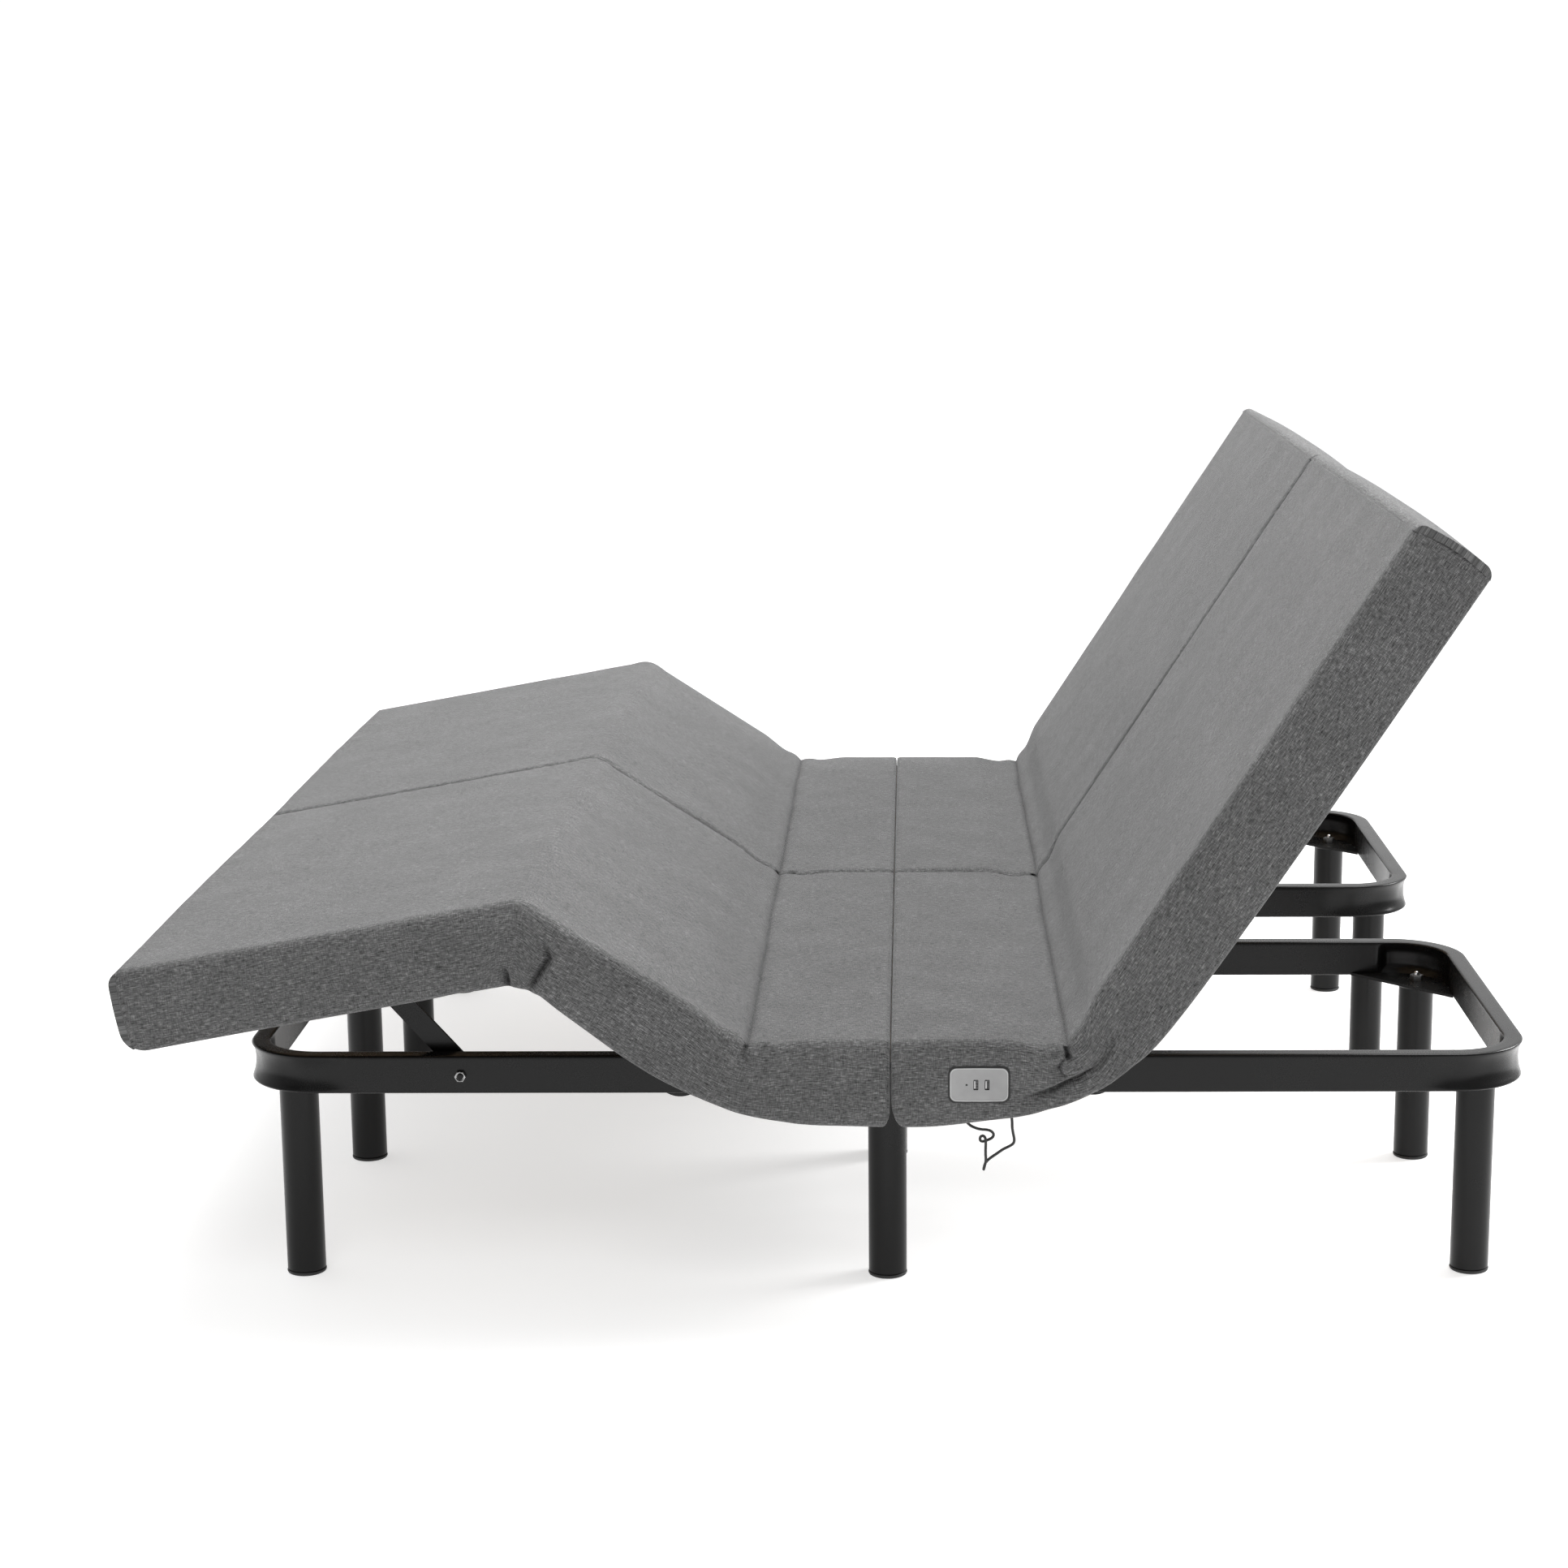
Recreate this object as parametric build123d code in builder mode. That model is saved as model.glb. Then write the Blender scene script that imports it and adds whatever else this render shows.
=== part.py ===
from build123d import *
import math
import os

# Split king adjustable bed base: two narrow bases side by side, each with a raised back and knees.
# Millimetres. X runs from the foot to the head, Y across the bed, Z up, the floor at Z = 0.
# The origin is the middle of the footprint of both bases.

os.makedirs("parts", exist_ok=True)

# ---- deck: lengths are hinge axis to hinge axis, angles are those of the pose that is stored
deck_width = 950.0
unit_pitch = 954.0
calf_length = 512.0
thigh_length = 329.0
seat_length = 412.0
back_length = 779.0
thigh_angle = 33.0
calf_slope = 10.24
back_angle = 57.0
deck_top = 384.5
pad_thickness = 16.0
board_thickness = 15.0
hinge_below_top = 24.0
cover_depth = 112.7
cover_wall = 14.0
back_setback = 15.0
seat_setback = 10.0
knee_mitre = 24.6
cover_split = 6.0
split_gap = 6.0
board_end_gap = 10.0

# ---- frame of bent rectangular tube, with round legs
rail_height = 50.8
rail_width = 25.4
rail_bottom = 266.7
frame_half_length = 843.0
frame_width = 617.0
corner_radius = 100.0
tube_wall = 2.0
leg_radius = 25.4
leg_spacing_x = 1557.0
leg_inset = 67.3
middle_leg_inset = 54.0
glide_height = 5.0
plate_thickness = 4.0
corner_plate_side = 130.0
spare_hole_x = 24.0
spare_hole_y = 15.0
spare_hole_radius = 4.0
middle_plate = (90.0, 64.0)
stud_length = 16.0
leg_nut_size = 9.8
leg_nut_height = 8.0
glide_plug = 14.0
glide_edge = 2.0
sleeve_reach = 90.0
sleeve_gap = 0.1
seat_block_in = 72.7

# ---- hinge and shaft places along X, counted from the middle pair of legs
seat_thigh_x = -177.0
seat_back_x = seat_thigh_x + seat_length
link_bolt_x = -553.7
link_bolt_z = 291.0
link_bolt_length = 48.0
link_nut_size = 7.6
link_nut_height = 6.0
foot_shaft_x = -270.6
foot_shaft_z = 289.6
head_shaft_x = 270.0
head_shaft_z = 291.0

# ---- section frames under the boards
member = 25.4
side_member_y = 392.7
roller_y = 180.0
ear_radius = 7.8
ear_heel = 14.0
ear_reach = 45.0
ear_thickness = 4.0
pin_radius = 5.0
running_gap = 0.05

# ---- lift levers, rollers and links
shaft_radius = 19.0
bearing_radius = 35.0
bearing_thickness = 6.0
head_arm_length = 330.0
head_arm_angle = 58.9
head_roller_radius = 20.0
foot_arm_length = 160.0
foot_arm_angle = 54.0
foot_roller_radius = 18.0
crank_length = 70.0
head_crank_angle = 33.0
foot_crank_angle = 30.0
rod_eye_radius = 11.2
link_length = 200.15
link_angle = 48.45
link_eye_radius = 8.0
link_eye_u = -247.38
link_eye_w = -55.8
link_y = 270.1

# ---- actuators
motor_y = 50.0
motor_pivot_z = 222.0
head_pivot_x = -185.0
foot_pivot_x = 180.0
cross_tube_z = 298.0
cross_tube_size = 30.0
clevis_width = 26.0
clevis_thickness = 4.0
clevis_gap = 24.0
clevis_pin_reach = 20.0
crank_thickness = 6.0
crank_gap = 22.0
crank_pin_reach = 17.0
arm_thickness = 8.0
arm_in = 22.0
roller_width = 24.0
link_thickness = 6.0
link_end_radius = 14.0
motor_tail = (22.0, 26.0, 46.0)
motor_tail_start = -13.0
gearbox = (52.0, 60.0, 90.0)
gearbox_start = 25.0
gearbox_edge = 8.0
motor_radius = 24.0
motor_length = 60.0
motor_drop = 4.0
actuator_tube_radius = 15.0
actuator_tube_short = 96.0
rod_radius = 10.0
rod_start = 235.0
rod_bore_start = 150.0
rod_eye_wall = 6.0
rod_eye_width = 14.0

# ---- small parts
panel_x = 116.0
panel_z = 328.5
panel_length = 72.7
panel_height = 44.0
panel_proud = 2.0
port_width = 5.7
port_height = 13.0
port_places = (-4.0, 10.0)
lamp_place = -15.5
lead_radius = 1.75
panel_edge = 5.5
panel_corner = 7.0
panel_box_depth = 22.0
port_depth = 14.0
port_wall = 0.4
tongue_width = 1.8
lamp_radius = 1.55
control_box_x = 70.0
control_box_y = 225.0
control_box_size = (150.0, 90.0, 48.0)
control_box_edge = 8.0
inlet_size = (24.0, 28.0, 20.0)

# ---- worked out from the dimensions above
hinge_z = deck_top - hinge_below_top
board_top = hinge_below_top - pad_thickness
board_bottom = board_top - board_thickness
member_bottom = board_bottom - member
cover_bottom = hinge_below_top - cover_depth
rail_top = rail_bottom + rail_height
thigh_turn = math.radians(thigh_angle)
calf_turn = math.radians(calf_slope)
knee_x = seat_thigh_x - thigh_length * math.cos(thigh_turn)
knee_z = hinge_z + thigh_length * math.sin(thigh_turn)
foot_reach = calf_length * math.cos(calf_turn) + hinge_below_top * math.sin(calf_turn) - knee_x
middle_x = (foot_reach - frame_half_length) / 2
units = {"left": -1, "right": 1}
print("middle legs at X", round(middle_x, 3), "knee axis", round(middle_x + knee_x, 3), round(knee_z, 3))


def unit_y(side):
    """Middle of one base across the bed: the left one is on the -Y side."""
    return units[side] * unit_pitch / 2


def section_plane(side, x, z, turn):
    """Plane on a hinge axis: X along the section towards the head, Z out of its pad."""
    angle = math.radians(turn)
    return Plane(
        origin=(middle_x + x, unit_y(side), z),
        x_dir=(math.cos(angle), 0, math.sin(angle)),
        z_dir=(-math.sin(angle), 0, math.cos(angle)),
    )


def seat_plane(side):
    return section_plane(side, 0, hinge_z, 0)


def thigh_plane(side):
    return section_plane(side, seat_thigh_x, hinge_z, -thigh_angle)


def calf_plane(side):
    return section_plane(side, knee_x, knee_z, calf_slope)


def back_plane(side):
    return section_plane(side, seat_back_x, hinge_z, back_angle)


def floor_plane(side):
    """The unit's own floor frame, with its origin between the middle legs."""
    return section_plane(side, 0, 0, 0)


def upright(plane, v):
    """A plane standing across the bed at v, for outlines drawn along and up the section."""
    return Plane(origin=plane.from_local_coords((0, v, 0)), x_dir=plane.x_dir, z_dir=-plane.y_dir)


def middle(low, high):
    """Point half way between two corners."""
    return tuple((a + b) / 2 for a, b in zip(low, high))


def block(plane, low, high):
    """A plain block between two corners."""
    with BuildPart(plane) as solid:
        with Locations(middle(low, high)):
            Box(*[b - a for a, b in zip(low, high)])
    return solid.part


def tube_between(plane, low, high, run):
    """A straight rectangular tube, open at both ends; run is 0, 1 or 2 for along X, Y or Z."""
    size = [b - a for a, b in zip(low, high)]
    bore = [s if axis == run else s - 2 * tube_wall for axis, s in enumerate(size)]
    with BuildPart(plane) as tube:
        with Locations(middle(low, high)):
            Box(*size)
            Box(*bore, mode=Mode.SUBTRACT)
    return tube.part


def sheet(plane, points, v_low, v_high):
    """A flat plate with a straight-sided outline, standing across the bed from v_low to v_high."""
    with BuildPart() as plate:
        with BuildSketch(upright(plane, v_high)):
            with BuildLine():
                Polyline(*points, close=True)
            make_face()
        extrude(amount=v_high - v_low)
    return plate.part


def rod(plane, u, w, v_low, v_high, radius, bore=0.0):
    """A round bar or ring across the bed."""
    with BuildPart() as bar:
        with BuildSketch(upright(plane, v_high)):
            with Locations((u, w)):
                Circle(radius)
                if bore:
                    Circle(bore, mode=Mode.SUBTRACT)
        extrude(amount=v_high - v_low)
    return bar.part


def save(name, pieces):
    """Write one node: its pieces stay separate solids, as cut and welded or as bought."""
    group = Compound(label=name, children=pieces)
    export_step(group, f"parts/{name}.step")


# ---------------------------------------------------------------- frame
def half_loop(side, towards_head):
    """Half of the bent tube loop of one base, cut at the middle where the sleeve joins it."""
    outer = (2 * frame_half_length, frame_width)
    inner = (outer[0] - 2 * rail_width, outer[1] - 2 * rail_width)
    sign = 1 if towards_head else -1
    with BuildPart(floor_plane(side)) as loop:
        with BuildSketch(floor_plane(side).offset(rail_bottom)):
            RectangleRounded(*outer, corner_radius)
            RectangleRounded(*inner, corner_radius - rail_width, mode=Mode.SUBTRACT)
        extrude(amount=rail_height)
        with BuildSketch(floor_plane(side).offset(rail_bottom + tube_wall)):
            RectangleRounded(outer[0] - 2 * tube_wall, outer[1] - 2 * tube_wall, corner_radius - tube_wall)
            RectangleRounded(
                inner[0] + 2 * tube_wall,
                inner[1] + 2 * tube_wall,
                corner_radius - rail_width + tube_wall,
                mode=Mode.SUBTRACT,
            )
        extrude(amount=rail_height - 2 * tube_wall, mode=Mode.SUBTRACT)
        with Locations((-sign * frame_half_length, 0, rail_bottom)):
            Box(2 * frame_half_length, frame_width * 2, rail_height * 4, mode=Mode.SUBTRACT)
        with Locations(Location((link_bolt_x, 0, link_bolt_z), (90, 0, 0))):
            Cylinder(pin_radius + 1, frame_width * 2, mode=Mode.SUBTRACT)
    return loop.part


def corner_plates(side):
    """Plates across the inside of the loop's corners and beside its middle, for the legs."""
    inner = (2 * (frame_half_length - rail_width), frame_width - 2 * rail_width)
    plates = []
    for sx in (-1, 1):
        for sy in (-1, 1):
            corner = (sx * inner[0] / 2, sy * inner[1] / 2)
            leg = (sx * leg_spacing_x / 2, sy * (frame_width / 2 - leg_inset))
            with BuildPart(floor_plane(side)) as plate:
                with BuildSketch(floor_plane(side).offset(rail_bottom)):
                    RectangleRounded(*inner, corner_radius - rail_width)
                    Polygon(
                        corner,
                        (corner[0] - sx * corner_plate_side, corner[1]),
                        (corner[0], corner[1] - sy * corner_plate_side),
                        align=None,
                        mode=Mode.INTERSECT,
                    )
                    with Locations(leg):
                        Circle(pin_radius + running_gap, mode=Mode.SUBTRACT)
                    with Locations((leg[0] + sx * spare_hole_x, leg[1] - sy * spare_hole_y)):
                        Circle(spare_hole_radius, mode=Mode.SUBTRACT)
                extrude(amount=plate_thickness)
            plates.append(plate.part)
    for sy in (-1, 1):
        with BuildPart(floor_plane(side)) as plate:
            with BuildSketch(floor_plane(side).offset(rail_bottom)):
                with Locations((0, sy * (inner[1] - middle_plate[1]) / 2)):
                    Rectangle(*middle_plate)
                with Locations((0, sy * (frame_width / 2 - middle_leg_inset))):
                    Circle(pin_radius + running_gap, mode=Mode.SUBTRACT)
            extrude(amount=plate_thickness)
        plates.append(plate.part)
    return plates


def leg_places(side):
    """Leg centres of one base in the part's frame."""
    places = []
    for x in (-leg_spacing_x / 2, 0, leg_spacing_x / 2):
        inset = leg_inset if x else middle_leg_inset
        for sy in (-1, 1):
            places.append((middle_x + x, unit_y(side) + sy * (frame_width / 2 - inset)))
    return places


def leg(x, y):
    """Round tube leg, closed at the top, with the stud that goes up through its plate."""
    with BuildPart(Plane((x, y, 0))) as part:
        with Locations((0, 0, glide_height)):
            Cylinder(leg_radius, rail_bottom - glide_height, align=(Align.CENTER, Align.CENTER, Align.MIN))
            Cylinder(
                leg_radius - tube_wall,
                rail_bottom - glide_height - plate_thickness,
                align=(Align.CENTER, Align.CENTER, Align.MIN),
                mode=Mode.SUBTRACT,
            )
        with Locations((0, 0, rail_bottom)):
            Cylinder(pin_radius, stud_length, align=(Align.CENTER, Align.CENTER, Align.MIN))
    return part.part


def leg_nut(x, y):
    """Hexagon nut on the stud, above the plate."""
    with BuildPart() as nut:
        with BuildSketch(Plane((x, y, rail_bottom + plate_thickness))):
            RegularPolygon(leg_nut_size, 6)
            Circle(pin_radius + running_gap, mode=Mode.SUBTRACT)
        extrude(amount=leg_nut_height)
    return nut.part


def glide(x, y):
    """Plastic glide: a disc on the floor with a plug up into the leg."""
    with BuildPart(Plane((x, y, 0))) as part:
        Cylinder(leg_radius, glide_height, align=(Align.CENTER, Align.CENTER, Align.MIN))
        with Locations((0, 0, glide_height)):
            Cylinder(leg_radius - tube_wall - 0.2, glide_plug, align=(Align.CENTER, Align.CENTER, Align.MIN))
        fillet(part.edges().filter_by(GeomType.CIRCLE).sort_by(Axis.Z)[0], glide_edge)
    return part.part


def splice_sleeves(side):
    """Square bars inside the loop's tube across its middle joint."""
    inside = rail_width / 2 - tube_wall - sleeve_gap
    sleeves = []
    for sy in (-1, 1):
        y = sy * (frame_width / 2 - rail_width / 2)
        low = (-sleeve_reach, y - inside, rail_bottom + tube_wall + sleeve_gap)
        high = (sleeve_reach, y + inside, rail_top - tube_wall - sleeve_gap)
        sleeves.append(tube_between(floor_plane(side), low, high, 0))
    return sleeves


def cross_tubes(side):
    """Tubes across the loop that hold the rear ends of the two actuators."""
    reach = frame_width / 2 - rail_width
    half = cross_tube_size / 2
    tubes = []
    for x in (head_pivot_x, foot_pivot_x):
        low = (x - half, -reach, cross_tube_z - half)
        high = (x + half, reach, cross_tube_z + half)
        tubes.append(tube_between(floor_plane(side), low, high, 1))
    return tubes


def clevis_plates(side):
    """Pairs of plates under a cross tube, with the pin through an actuator's rear end."""
    pieces = []
    for x, y in ((head_pivot_x, motor_y), (foot_pivot_x, -motor_y)):
        top = cross_tube_z - cross_tube_size / 2
        for v in (y - clevis_gap / 2 - clevis_thickness, y + clevis_gap / 2):
            with BuildPart() as plate:
                with BuildSketch(upright(floor_plane(side), v + clevis_thickness)):
                    with Locations((x, (top + motor_pivot_z) / 2)):
                        Rectangle(clevis_width, top - motor_pivot_z)
                    with Locations((x, motor_pivot_z)):
                        Circle(clevis_width / 2)
                        Circle(pin_radius + running_gap, mode=Mode.SUBTRACT)
                extrude(amount=clevis_thickness)
            pieces.append(plate.part)
        low, high = y - clevis_pin_reach, y + clevis_pin_reach
        pieces.append(rod(floor_plane(side), x, motor_pivot_z, low, high, pin_radius))
    return pieces


def shaft_bearings(side):
    """Round plates on the insides of the rails, in which the lift shafts turn."""
    reach = frame_width / 2 - rail_width
    plates = []
    for x, z in ((foot_shaft_x, foot_shaft_z), (head_shaft_x, head_shaft_z)):
        for low in (-reach, reach - bearing_thickness):
            high = low + bearing_thickness
            bore = shaft_radius + running_gap
            plates.append(rod(floor_plane(side), x, z, low, high, bearing_radius, bore))
    return plates


def seat_blocks(side):
    """Blocks that stand the seat's cross members on the rails."""
    blocks = []
    half = member / 2
    for x in (seat_thigh_x + seat_block_in, seat_back_x - seat_block_in):
        for sy in (-1, 1):
            y = sy * (frame_width - rail_width) / 2
            low = (x - half, y - half, rail_top)
            high = (x + half, y + half, hinge_z + member_bottom)
            blocks.append(block(floor_plane(side), low, high))
    return blocks


def link_bolts(side):
    """Through bolts in the rails that the calf links turn on, with their nuts."""
    plane = floor_plane(side)
    face = frame_width / 2
    pieces = []
    for sy in (-1, 1):
        with BuildPart() as bolt:
            with BuildSketch(upright(plane, sy * face)):
                with Locations((link_bolt_x, link_bolt_z)):
                    Circle(pin_radius + 1 - running_gap)
            extrude(amount=sy * link_bolt_length)
            with BuildSketch(upright(plane, sy * (face + link_nut_height))):
                with Locations((link_bolt_x, link_bolt_z)):
                    RegularPolygon(link_nut_size, 6)
            extrude(amount=sy * link_nut_height)
        pieces.append(bolt.part)
        with BuildPart() as nut:
            with BuildSketch(upright(plane, sy * (link_y - 4))):
                with Locations((link_bolt_x, link_bolt_z)):
                    RegularPolygon(link_nut_size + 2.8, 6)
                    Circle(pin_radius + 1, mode=Mode.SUBTRACT)
            extrude(amount=sy * (link_nut_height + 1))
        pieces.append(nut.part)
    return pieces


# ---------------------------------------------------------------- section frames, boards and covers
def hinge_ear(plane, u, inward, sy, outer):
    """Ear plate on one side of a section frame; inward is +1 where the section lies to +X."""
    face = side_member_y + member / 2 if outer else side_member_y - member / 2 - ear_thickness
    v_low = face if sy > 0 else -face - ear_thickness
    with BuildPart() as ear:
        with BuildSketch(upright(plane, v_low + ear_thickness)):
            with Locations((u, 0)):
                Circle(ear_radius)
            Polygon(
                (u, 0),
                (u, -ear_radius),
                (u + inward * ear_heel, member_bottom),
                (u + inward * ear_reach, member_bottom),
                (u + inward * ear_reach, board_bottom),
                (u + inward * ear_radius, board_bottom),
                align=None,
            )
            with Locations((u, 0)):
                Circle(pin_radius + running_gap, mode=Mode.SUBTRACT)
        extrude(amount=ear_thickness)
    return ear.part


def section_frame(plane, u_low, u_high, cross_us, ears, roller_span=None):
    """Welded frame under a board: two side members, cross members, ears and roller tracks."""
    half = member / 2
    pieces = []
    for sy in (-1, 1):
        y = sy * side_member_y
        low = (u_low, y - half, member_bottom)
        high = (u_high, y + half, board_bottom)
        pieces.append(tube_between(plane, low, high, 0))
    reach = side_member_y - half
    for u in cross_us:
        low = (u - half, -reach, member_bottom)
        high = (u + half, reach, board_bottom)
        pieces.append(tube_between(plane, low, high, 1))
    for u, inward, outer in ears:
        for sy in (-1, 1):
            pieces.append(hinge_ear(plane, u, inward, sy, outer))
    if roller_span:
        for sy in (-1, 1):
            y = sy * roller_y
            low = (roller_span[0], y - half, member_bottom)
            high = (roller_span[1], y + half, board_bottom)
            pieces.append(tube_between(plane, low, high, 0))
    return pieces


def hinge_pins(plane, u):
    """The two pins of one hinge line, through an inner and an outer ear on each side."""
    inner = side_member_y - member / 2 - ear_thickness - 2
    outer = side_member_y + member / 2 + ear_thickness + 2
    return [
        rod(plane, u, 0, inner, outer, pin_radius),
        rod(plane, u, 0, -outer, -inner, pin_radius),
    ]


def board(plane, u_low, u_high):
    """Deck board of one section."""
    reach = deck_width / 2 - cover_wall
    return [block(plane, (u_low, -reach, board_bottom), (u_high, reach, board_top))]


def skirt(plane, points, sy):
    """Padded side wall of a section, hung from the edge of its pad."""
    outer = deck_width / 2
    low, high = (outer - cover_wall, outer) if sy > 0 else (-outer, cover_wall - outer)
    return sheet(plane, points, low, high)


def cover(plane, pad_span, skirt_points, end_u=None):
    """Padded cover of a section: pad, side walls, and an end wall where the deck ends."""
    half = deck_width / 2
    pieces = [block(plane, (pad_span[0], -half, board_top), (pad_span[1], half, hinge_below_top))]
    for sy in (-1, 1):
        pieces.append(skirt(plane, skirt_points, sy))
    if end_u is not None:
        low_u, high_u = sorted((end_u, end_u - math.copysign(cover_wall, end_u)))
        reach = half - cover_wall
        pieces.append(block(plane, (low_u, -reach, cover_bottom), (high_u, reach, board_top)))
    return pieces


def knee_setback(w):
    """How far a wall stands back from the knee axis at height w, so that the knee can bend."""
    return max(-w, 0) * math.tan(math.radians(knee_mitre)) + 2


def seat_cover(side):
    """The seat's cover, in two parts that meet between the middle legs."""
    pieces = []
    spans = (
        (seat_thigh_x + seat_setback, cover_split - split_gap / 2),
        (cover_split + split_gap / 2, seat_back_x - back_setback),
    )
    outward = units[side]
    for low, high in spans:
        points = [(low, cover_bottom), (high, cover_bottom), (high, board_top), (low, board_top)]
        plane = seat_plane(side)
        half = deck_width / 2
        pieces.append(block(plane, (low, -half, board_top), (high, half, hinge_below_top)))
        for sy in (-1, 1):
            if sy == outward and low > 0:
                pieces.append(panelled_skirt(side, low, high, sy))
            else:
                pieces.append(skirt(plane, points, sy))
    return pieces


def panelled_skirt(side, low, high, sy):
    """The outer side wall of the seat's head part, with the cut-out for the charging panel."""
    outer = deck_width / 2
    v_high = outer if sy > 0 else cover_wall - outer
    with BuildPart() as wall:
        with BuildSketch(upright(seat_plane(side), v_high)):
            with Locations(((low + high) / 2, (cover_bottom + board_top) / 2)):
                Rectangle(high - low, board_top - cover_bottom)
            with Locations((panel_x, panel_z - hinge_z)):
                opening = (panel_length - 2 * panel_edge + 1, panel_height - 2 * panel_edge + 1)
                Rectangle(*opening, mode=Mode.SUBTRACT)
        extrude(amount=cover_wall)
    return wall.part


# ---------------------------------------------------------------- charging panel, control box and lead
def panel_plane(side):
    """On the outer face of the seat's side wall, X to the head and Z up, Y out of the wall."""
    outward = units[side]
    y = unit_y(side) + outward * deck_width / 2
    origin = (middle_x + panel_x, y, panel_z)
    return Plane(origin=origin, x_dir=(-outward, 0, 0), z_dir=(0, outward, 0))


def panel_body(side):
    """Face plate with a box behind it, slots for two ports and a hole for the lamp."""
    with BuildPart() as panel:
        with BuildSketch(panel_plane(side)):
            RectangleRounded(panel_length, panel_height, panel_corner)
        extrude(amount=panel_proud)
        with BuildSketch(panel_plane(side)):
            Rectangle(panel_length - 2 * panel_edge, panel_height - 2 * panel_edge)
        extrude(amount=-panel_box_depth)
        with BuildSketch(panel_plane(side).offset(panel_proud)):
            with Locations(*[(u, 0) for u in port_places]):
                Rectangle(port_width + 0.2, port_height + 0.2)
            with Locations((lamp_place, 0)):
                Circle(lamp_radius + running_gap)
        extrude(amount=-port_depth - 2, mode=Mode.SUBTRACT)
    return panel.part


def panel_ports(side):
    """Metal port shells with their tongues, and the lamp."""
    pieces = []
    for u in port_places:
        with BuildPart() as port:
            with BuildSketch(panel_plane(side).offset(panel_proud - 0.4)):
                with Locations((u, 0)):
                    Rectangle(port_width, port_height)
            extrude(amount=-port_depth)
            with BuildSketch(panel_plane(side).offset(panel_proud - 0.4)):
                with Locations((u, 0)):
                    Rectangle(port_width - 2 * port_wall, port_height - 2 * port_wall)
                with Locations((u - tongue_width / 2, 0)):
                    Rectangle(tongue_width, port_height - 2.4, mode=Mode.SUBTRACT)
            extrude(amount=2 - port_depth, mode=Mode.SUBTRACT)
        pieces.append(port.part)
    with BuildPart() as lamp:
        with BuildSketch(panel_plane(side).offset(panel_proud - 0.4)):
            with Locations((lamp_place, 0)):
                Circle(lamp_radius)
        extrude(amount=-6)
    pieces.append(lamp.part)
    return pieces


def control_box(side):
    """Power and control box under the seat board, with its mains inlet on the head side."""
    with BuildPart(seat_plane(side)) as box:
        y = control_box_y * -units[side]
        with Locations((control_box_x, y, board_bottom - control_box_size[2] / 2)):
            Box(*control_box_size)
        fillet(box.edges().filter_by(Axis.Z), control_box_edge)
        with Locations((control_box_x + control_box_size[0] / 2, y, member_bottom - 2)):
            Box(*inlet_size, mode=Mode.SUBTRACT)
    return box.part


lead_points = [
    (98, 1, 312),
    (98, 1, 301),
    (97.3, 0.6, 289),
    (98.5, 0.3, 278.5),
    (104, 0, 271),
    (111.4, 0, 267),
    (119, 0.3, 264.8),
    (127, 0.8, 264.4),
    (133.2, 1.4, 261.8),
    (135.4, 2.1, 256.8),
    (132.6, 2.7, 252.6),
    (127.5, 3, 250.2),
    (122, 2.6, 248.2),
    (118.3, 1.3, 249.4),
    (117.4, -0.2, 253.6),
    (119.5, -1.5, 257.2),
    (122.8, -2.2, 257.2),
    (124.8, -2.6, 253.6),
    (125, -2.8, 245.6),
    (124.6, -3, 235),
    (125.4, -3.2, 225.5),
    (123.8, -3.2, 218.5),
    (122.4, -2.9, 212.9),
    (122.6, 2.9, 212.6),
    (124, 3.3, 218.5),
    (126.4, 3.2, 222.6),
    (131.2, 2.6, 227),
    (139.5, 1.2, 233.3),
    (147.1, 0.5, 239.2),
    (154.2, 0, 242.6),
    (160, 0, 246.4),
    (161, 0, 251.6),
    (159.4, 0, 259),
    (158, 0, 267),
    (158, 0.5, 276),
    (156.5, 1, 285.5),
    (151.5, 1, 293),
    (145.8, 1, 299),
    (143, 1, 305.5),
    (143, 1, 312),
]


def lead_route():
    """Thin lead in a crumpled loop: out of the charging panel's box and back up into it."""
    y = unit_y("left") - deck_width / 2 + cover_wall + 3
    return [(middle_x + x, y + dy, z) for x, dy, z in lead_points]


def usb_lead():
    """The lead's tube: straight runs joined by tangent arcs."""
    route = [Vector(*p) for p in lead_route()]
    radii = []
    for before, here, after in zip(route, route[1:], route[2:]):
        turn = math.radians((here - before).get_angle(after - here))
        shorter = min((here - before).length, (after - here).length)
        radii.append(0.45 * shorter / math.tan(turn / 2))
    print("lead radii", [round(r, 1) for r in radii])
    with BuildPart() as tube:
        with BuildLine() as path:
            FilletPolyline(*route, radius=radii)
        with BuildSketch(Plane(origin=route[0], z_dir=route[1] - route[0])):
            Circle(lead_radius)
        sweep(path=path.wires()[0])
    length = path.wires()[0].length
    print("lead length", round(length, 1), "volume ratio",
          round(tube.part.volume / (math.pi * lead_radius**2 * length), 4))
    return tube.part


# ---------------------------------------------------------------- lift levers, rollers, links, actuators
def shaft_place(head):
    return (head_shaft_x, head_shaft_z) if head else (foot_shaft_x, foot_shaft_z)


def arm_end(head):
    """Roller axis at the end of a lift arm, in the unit's floor frame."""
    x, z = shaft_place(head)
    length = head_arm_length if head else foot_arm_length
    angle = math.radians(head_arm_angle if head else foot_arm_angle)
    sign = 1 if head else -1
    return (x + sign * length * math.cos(angle), z + length * math.sin(angle))


def crank_end(head):
    """Pin axis at the lower end of a crank, in the unit's floor frame."""
    x, z = shaft_place(head)
    angle = math.radians(head_crank_angle if head else foot_crank_angle)
    sign = 1 if head else -1
    return (x + sign * crank_length * math.sin(angle), z - crank_length * math.cos(angle))


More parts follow.
